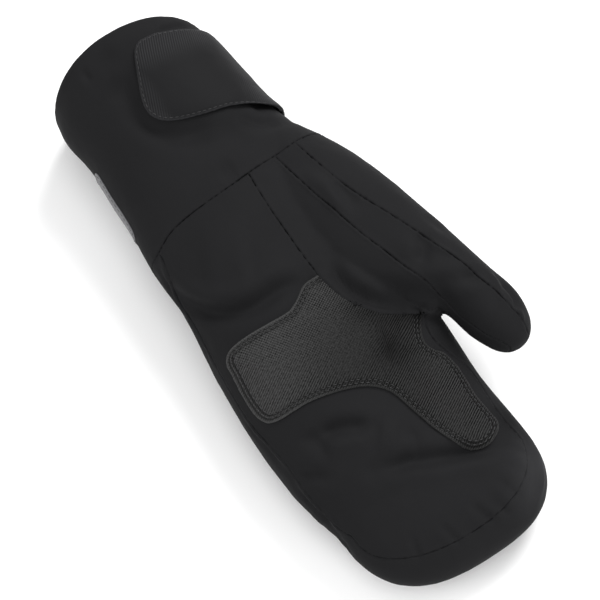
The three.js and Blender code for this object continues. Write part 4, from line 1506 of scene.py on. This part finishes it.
class OVERGLOVE_OT_reflective(bpy.types.Operator):
    """Lay the reflective panel on the little finger's side of the cuff"""

    bl_idname = "overglove.reflective"
    bl_label = "Reflective panel"

    def execute(self, context):
        outline = reflective_outline()
        bm = bmesh.new()
        grid_in(bm, outline.min(axis=0) - 1, outline.max(axis=0) + 1, 1.0)
        trim(bm, lambda points: depth_inside(outline, points))
        flat = coords(bm)
        edge = distance_to(outline, flat, closed=True)
        upright = np.insert(flat[:, :2], 0, BESIDE_CUFF, axis=1)
        laid = drop(skin_tree(), upright, np.tile((1.0, 0.0, 0.0), (len(flat), 1)))
        place(bm, laid)
        face_out(bm, (1, 0, 0))
        height = LAID_OFF + REFLECTIVE_EDGE["height"] * np.clip(edge / REFLECTIVE_EDGE["width"], 0, 1)
        place(bm, laid + normals(bm) * height[:, None])
        piece = finished(
            "reflective_film", bm, reflective_material(), "reflective_panel"
        )
        give_walls(piece, REFLECTIVE_FILM * MM)
        line = beside(evenly(np.concatenate([outline, outline[:1]]), 1.0), REFLECTIVE_ROW)
        stitches = sew(
            "reflective_stitches", piece, [line], 0.8, up=(1.0, 0.0, 0.0)
        )
        return {"FINISHED"}


# ---- Stage -------------------------------------------------------------------------------------

CAMERA = {"tilt": 19.0, "round": 31.5, "distance": 1.15, "target": (0.01646, -0.00093, 0.030)}
PICTURE_SIDE = 600
# The camera's focal length in the picture's pixels: from 1,150 mm away, 340 mm take up 647 of them.
FOCAL_PIXELS = 1150 * 647 / 340
SENSOR = 36
FLOOR_HALF = 3.0
ROOM_LIGHT = 0.56
LIGHTS = (
    # name, direction from the glove, distance, size, power
    ("key", (-0.8, -0.5, 0.9), 1.4, 0.8, 19.6),
    ("front", (-0.3, 1.0, 0.3), 1.4, 0.9, 9.8),
    ("left", (0.95, -0.2, 0.5), 1.7, 1.2, 12.6),
    ("overhead", (0.1, 0.0, 1.0), 2.0, 1.6, 12.6),
)


def set_up(context, name, data, target, way, distance):
    """Puts a light or the camera at a distance from the target, looking at it."""
    thing = bpy.data.objects.new(name, data)
    way = Vector(way).normalized()
    thing.location = target + way * distance
    thing.rotation_mode = "QUATERNION"
    thing.rotation_quaternion = (target - thing.location).to_track_quat("-Z", "Y")
    context.scene.collection.objects.link(thing)
    return thing


class OVERGLOVE_OT_stage(bpy.types.Operator):
    """Set the floor, the soft lights and the camera"""

    bl_idname = "overglove.stage"
    bl_label = "Stage"

    def execute(self, context):
        bm = bmesh.new()
        bmesh.ops.create_grid(bm, x_segments=8, y_segments=8, size=FLOOR_HALF)
        mesh = bpy.data.meshes.new("floor")
        bm.to_mesh(mesh)
        bm.free()
        floor = bpy.data.objects.new("floor", mesh)
        context.scene.collection.objects.link(floor)
        material, tree = new_material("matt_white_paper")
        shader = add_node(
            tree, "ShaderNodeBsdfPrincipled", Base_Color=linear("#F6F6F6"), Roughness=0.9
        )
        add_node(tree, "ShaderNodeOutputMaterial", Surface=shader.outputs["BSDF"])
        mesh.materials.append(material)
        target = Vector(CAMERA["target"])
        for name, way, distance, size, power in LIGHTS:
            data = bpy.data.lights.new(name, "AREA")
            data.shape = "DISK"
            data.size = size
            data.energy = power
            set_up(context, name, data, target, way, distance)
        world = bpy.data.worlds.new("studio")
        world.use_nodes = True
        background = world.node_tree.nodes["Background"]
        background.inputs["Color"].default_value = (1, 1, 1, 1)
        background.inputs["Strength"].default_value = ROOM_LIGHT
        context.scene.world = world
        tilt, turn = math.radians(CAMERA["tilt"]), math.radians(CAMERA["round"])
        back = (math.sin(tilt) * math.sin(turn), math.sin(tilt) * math.cos(turn), math.cos(tilt))
        data = bpy.data.cameras.new("camera")
        data.sensor_width = SENSOR
        data.lens = FOCAL_PIXELS / PICTURE_SIDE * SENSOR
        context.scene.camera = set_up(context, "camera", data, target, back, CAMERA["distance"])
        context.scene.view_settings.view_transform = "Standard"
        return {"FINISHED"}


class OVERGLOVE_PT_panel(bpy.types.Panel):
    """The glove's steps, sizes and colours"""

    bl_label = "Overglove"
    bl_idname = "OVERGLOVE_PT_panel"
    bl_space_type = "VIEW_3D"
    bl_region_type = "UI"
    bl_category = "Overglove"

    def draw(self, context):
        for operator in STEPS:
            self.layout.operator(operator.bl_idname)
        for group in (context.scene.overglove_sizes, context.scene.overglove_colours):
            column = self.layout.column()
            for name in group.__annotations__:
                column.prop(group, name)


STEPS = (
    OVERGLOVE_OT_stage,
    OVERGLOVE_OT_shell,
    OVERGLOVE_OT_patch,
    OVERGLOVE_OT_strap,
    OVERGLOVE_OT_reflective,
)
CLASSES = (GloveSizes, GloveColours, *STEPS, OVERGLOVE_PT_panel)


def register():
    for cls in CLASSES:
        bpy.utils.register_class(cls)
    bpy.types.Scene.overglove_sizes = PointerProperty(type=GloveSizes)
    bpy.types.Scene.overglove_colours = PointerProperty(type=GloveColours)


def unregister():
    del bpy.types.Scene.overglove_colours
    del bpy.types.Scene.overglove_sizes
    for cls in reversed(CLASSES):
        bpy.utils.unregister_class(cls)


def main():
    register()
    for operator in STEPS:
        family, name = operator.bl_idname.split(".")
        getattr(getattr(bpy.ops, family), name)()
    bpy.data.meshes.remove(bpy.data.meshes[SKIN])


if __name__ == "__main__":
    main()
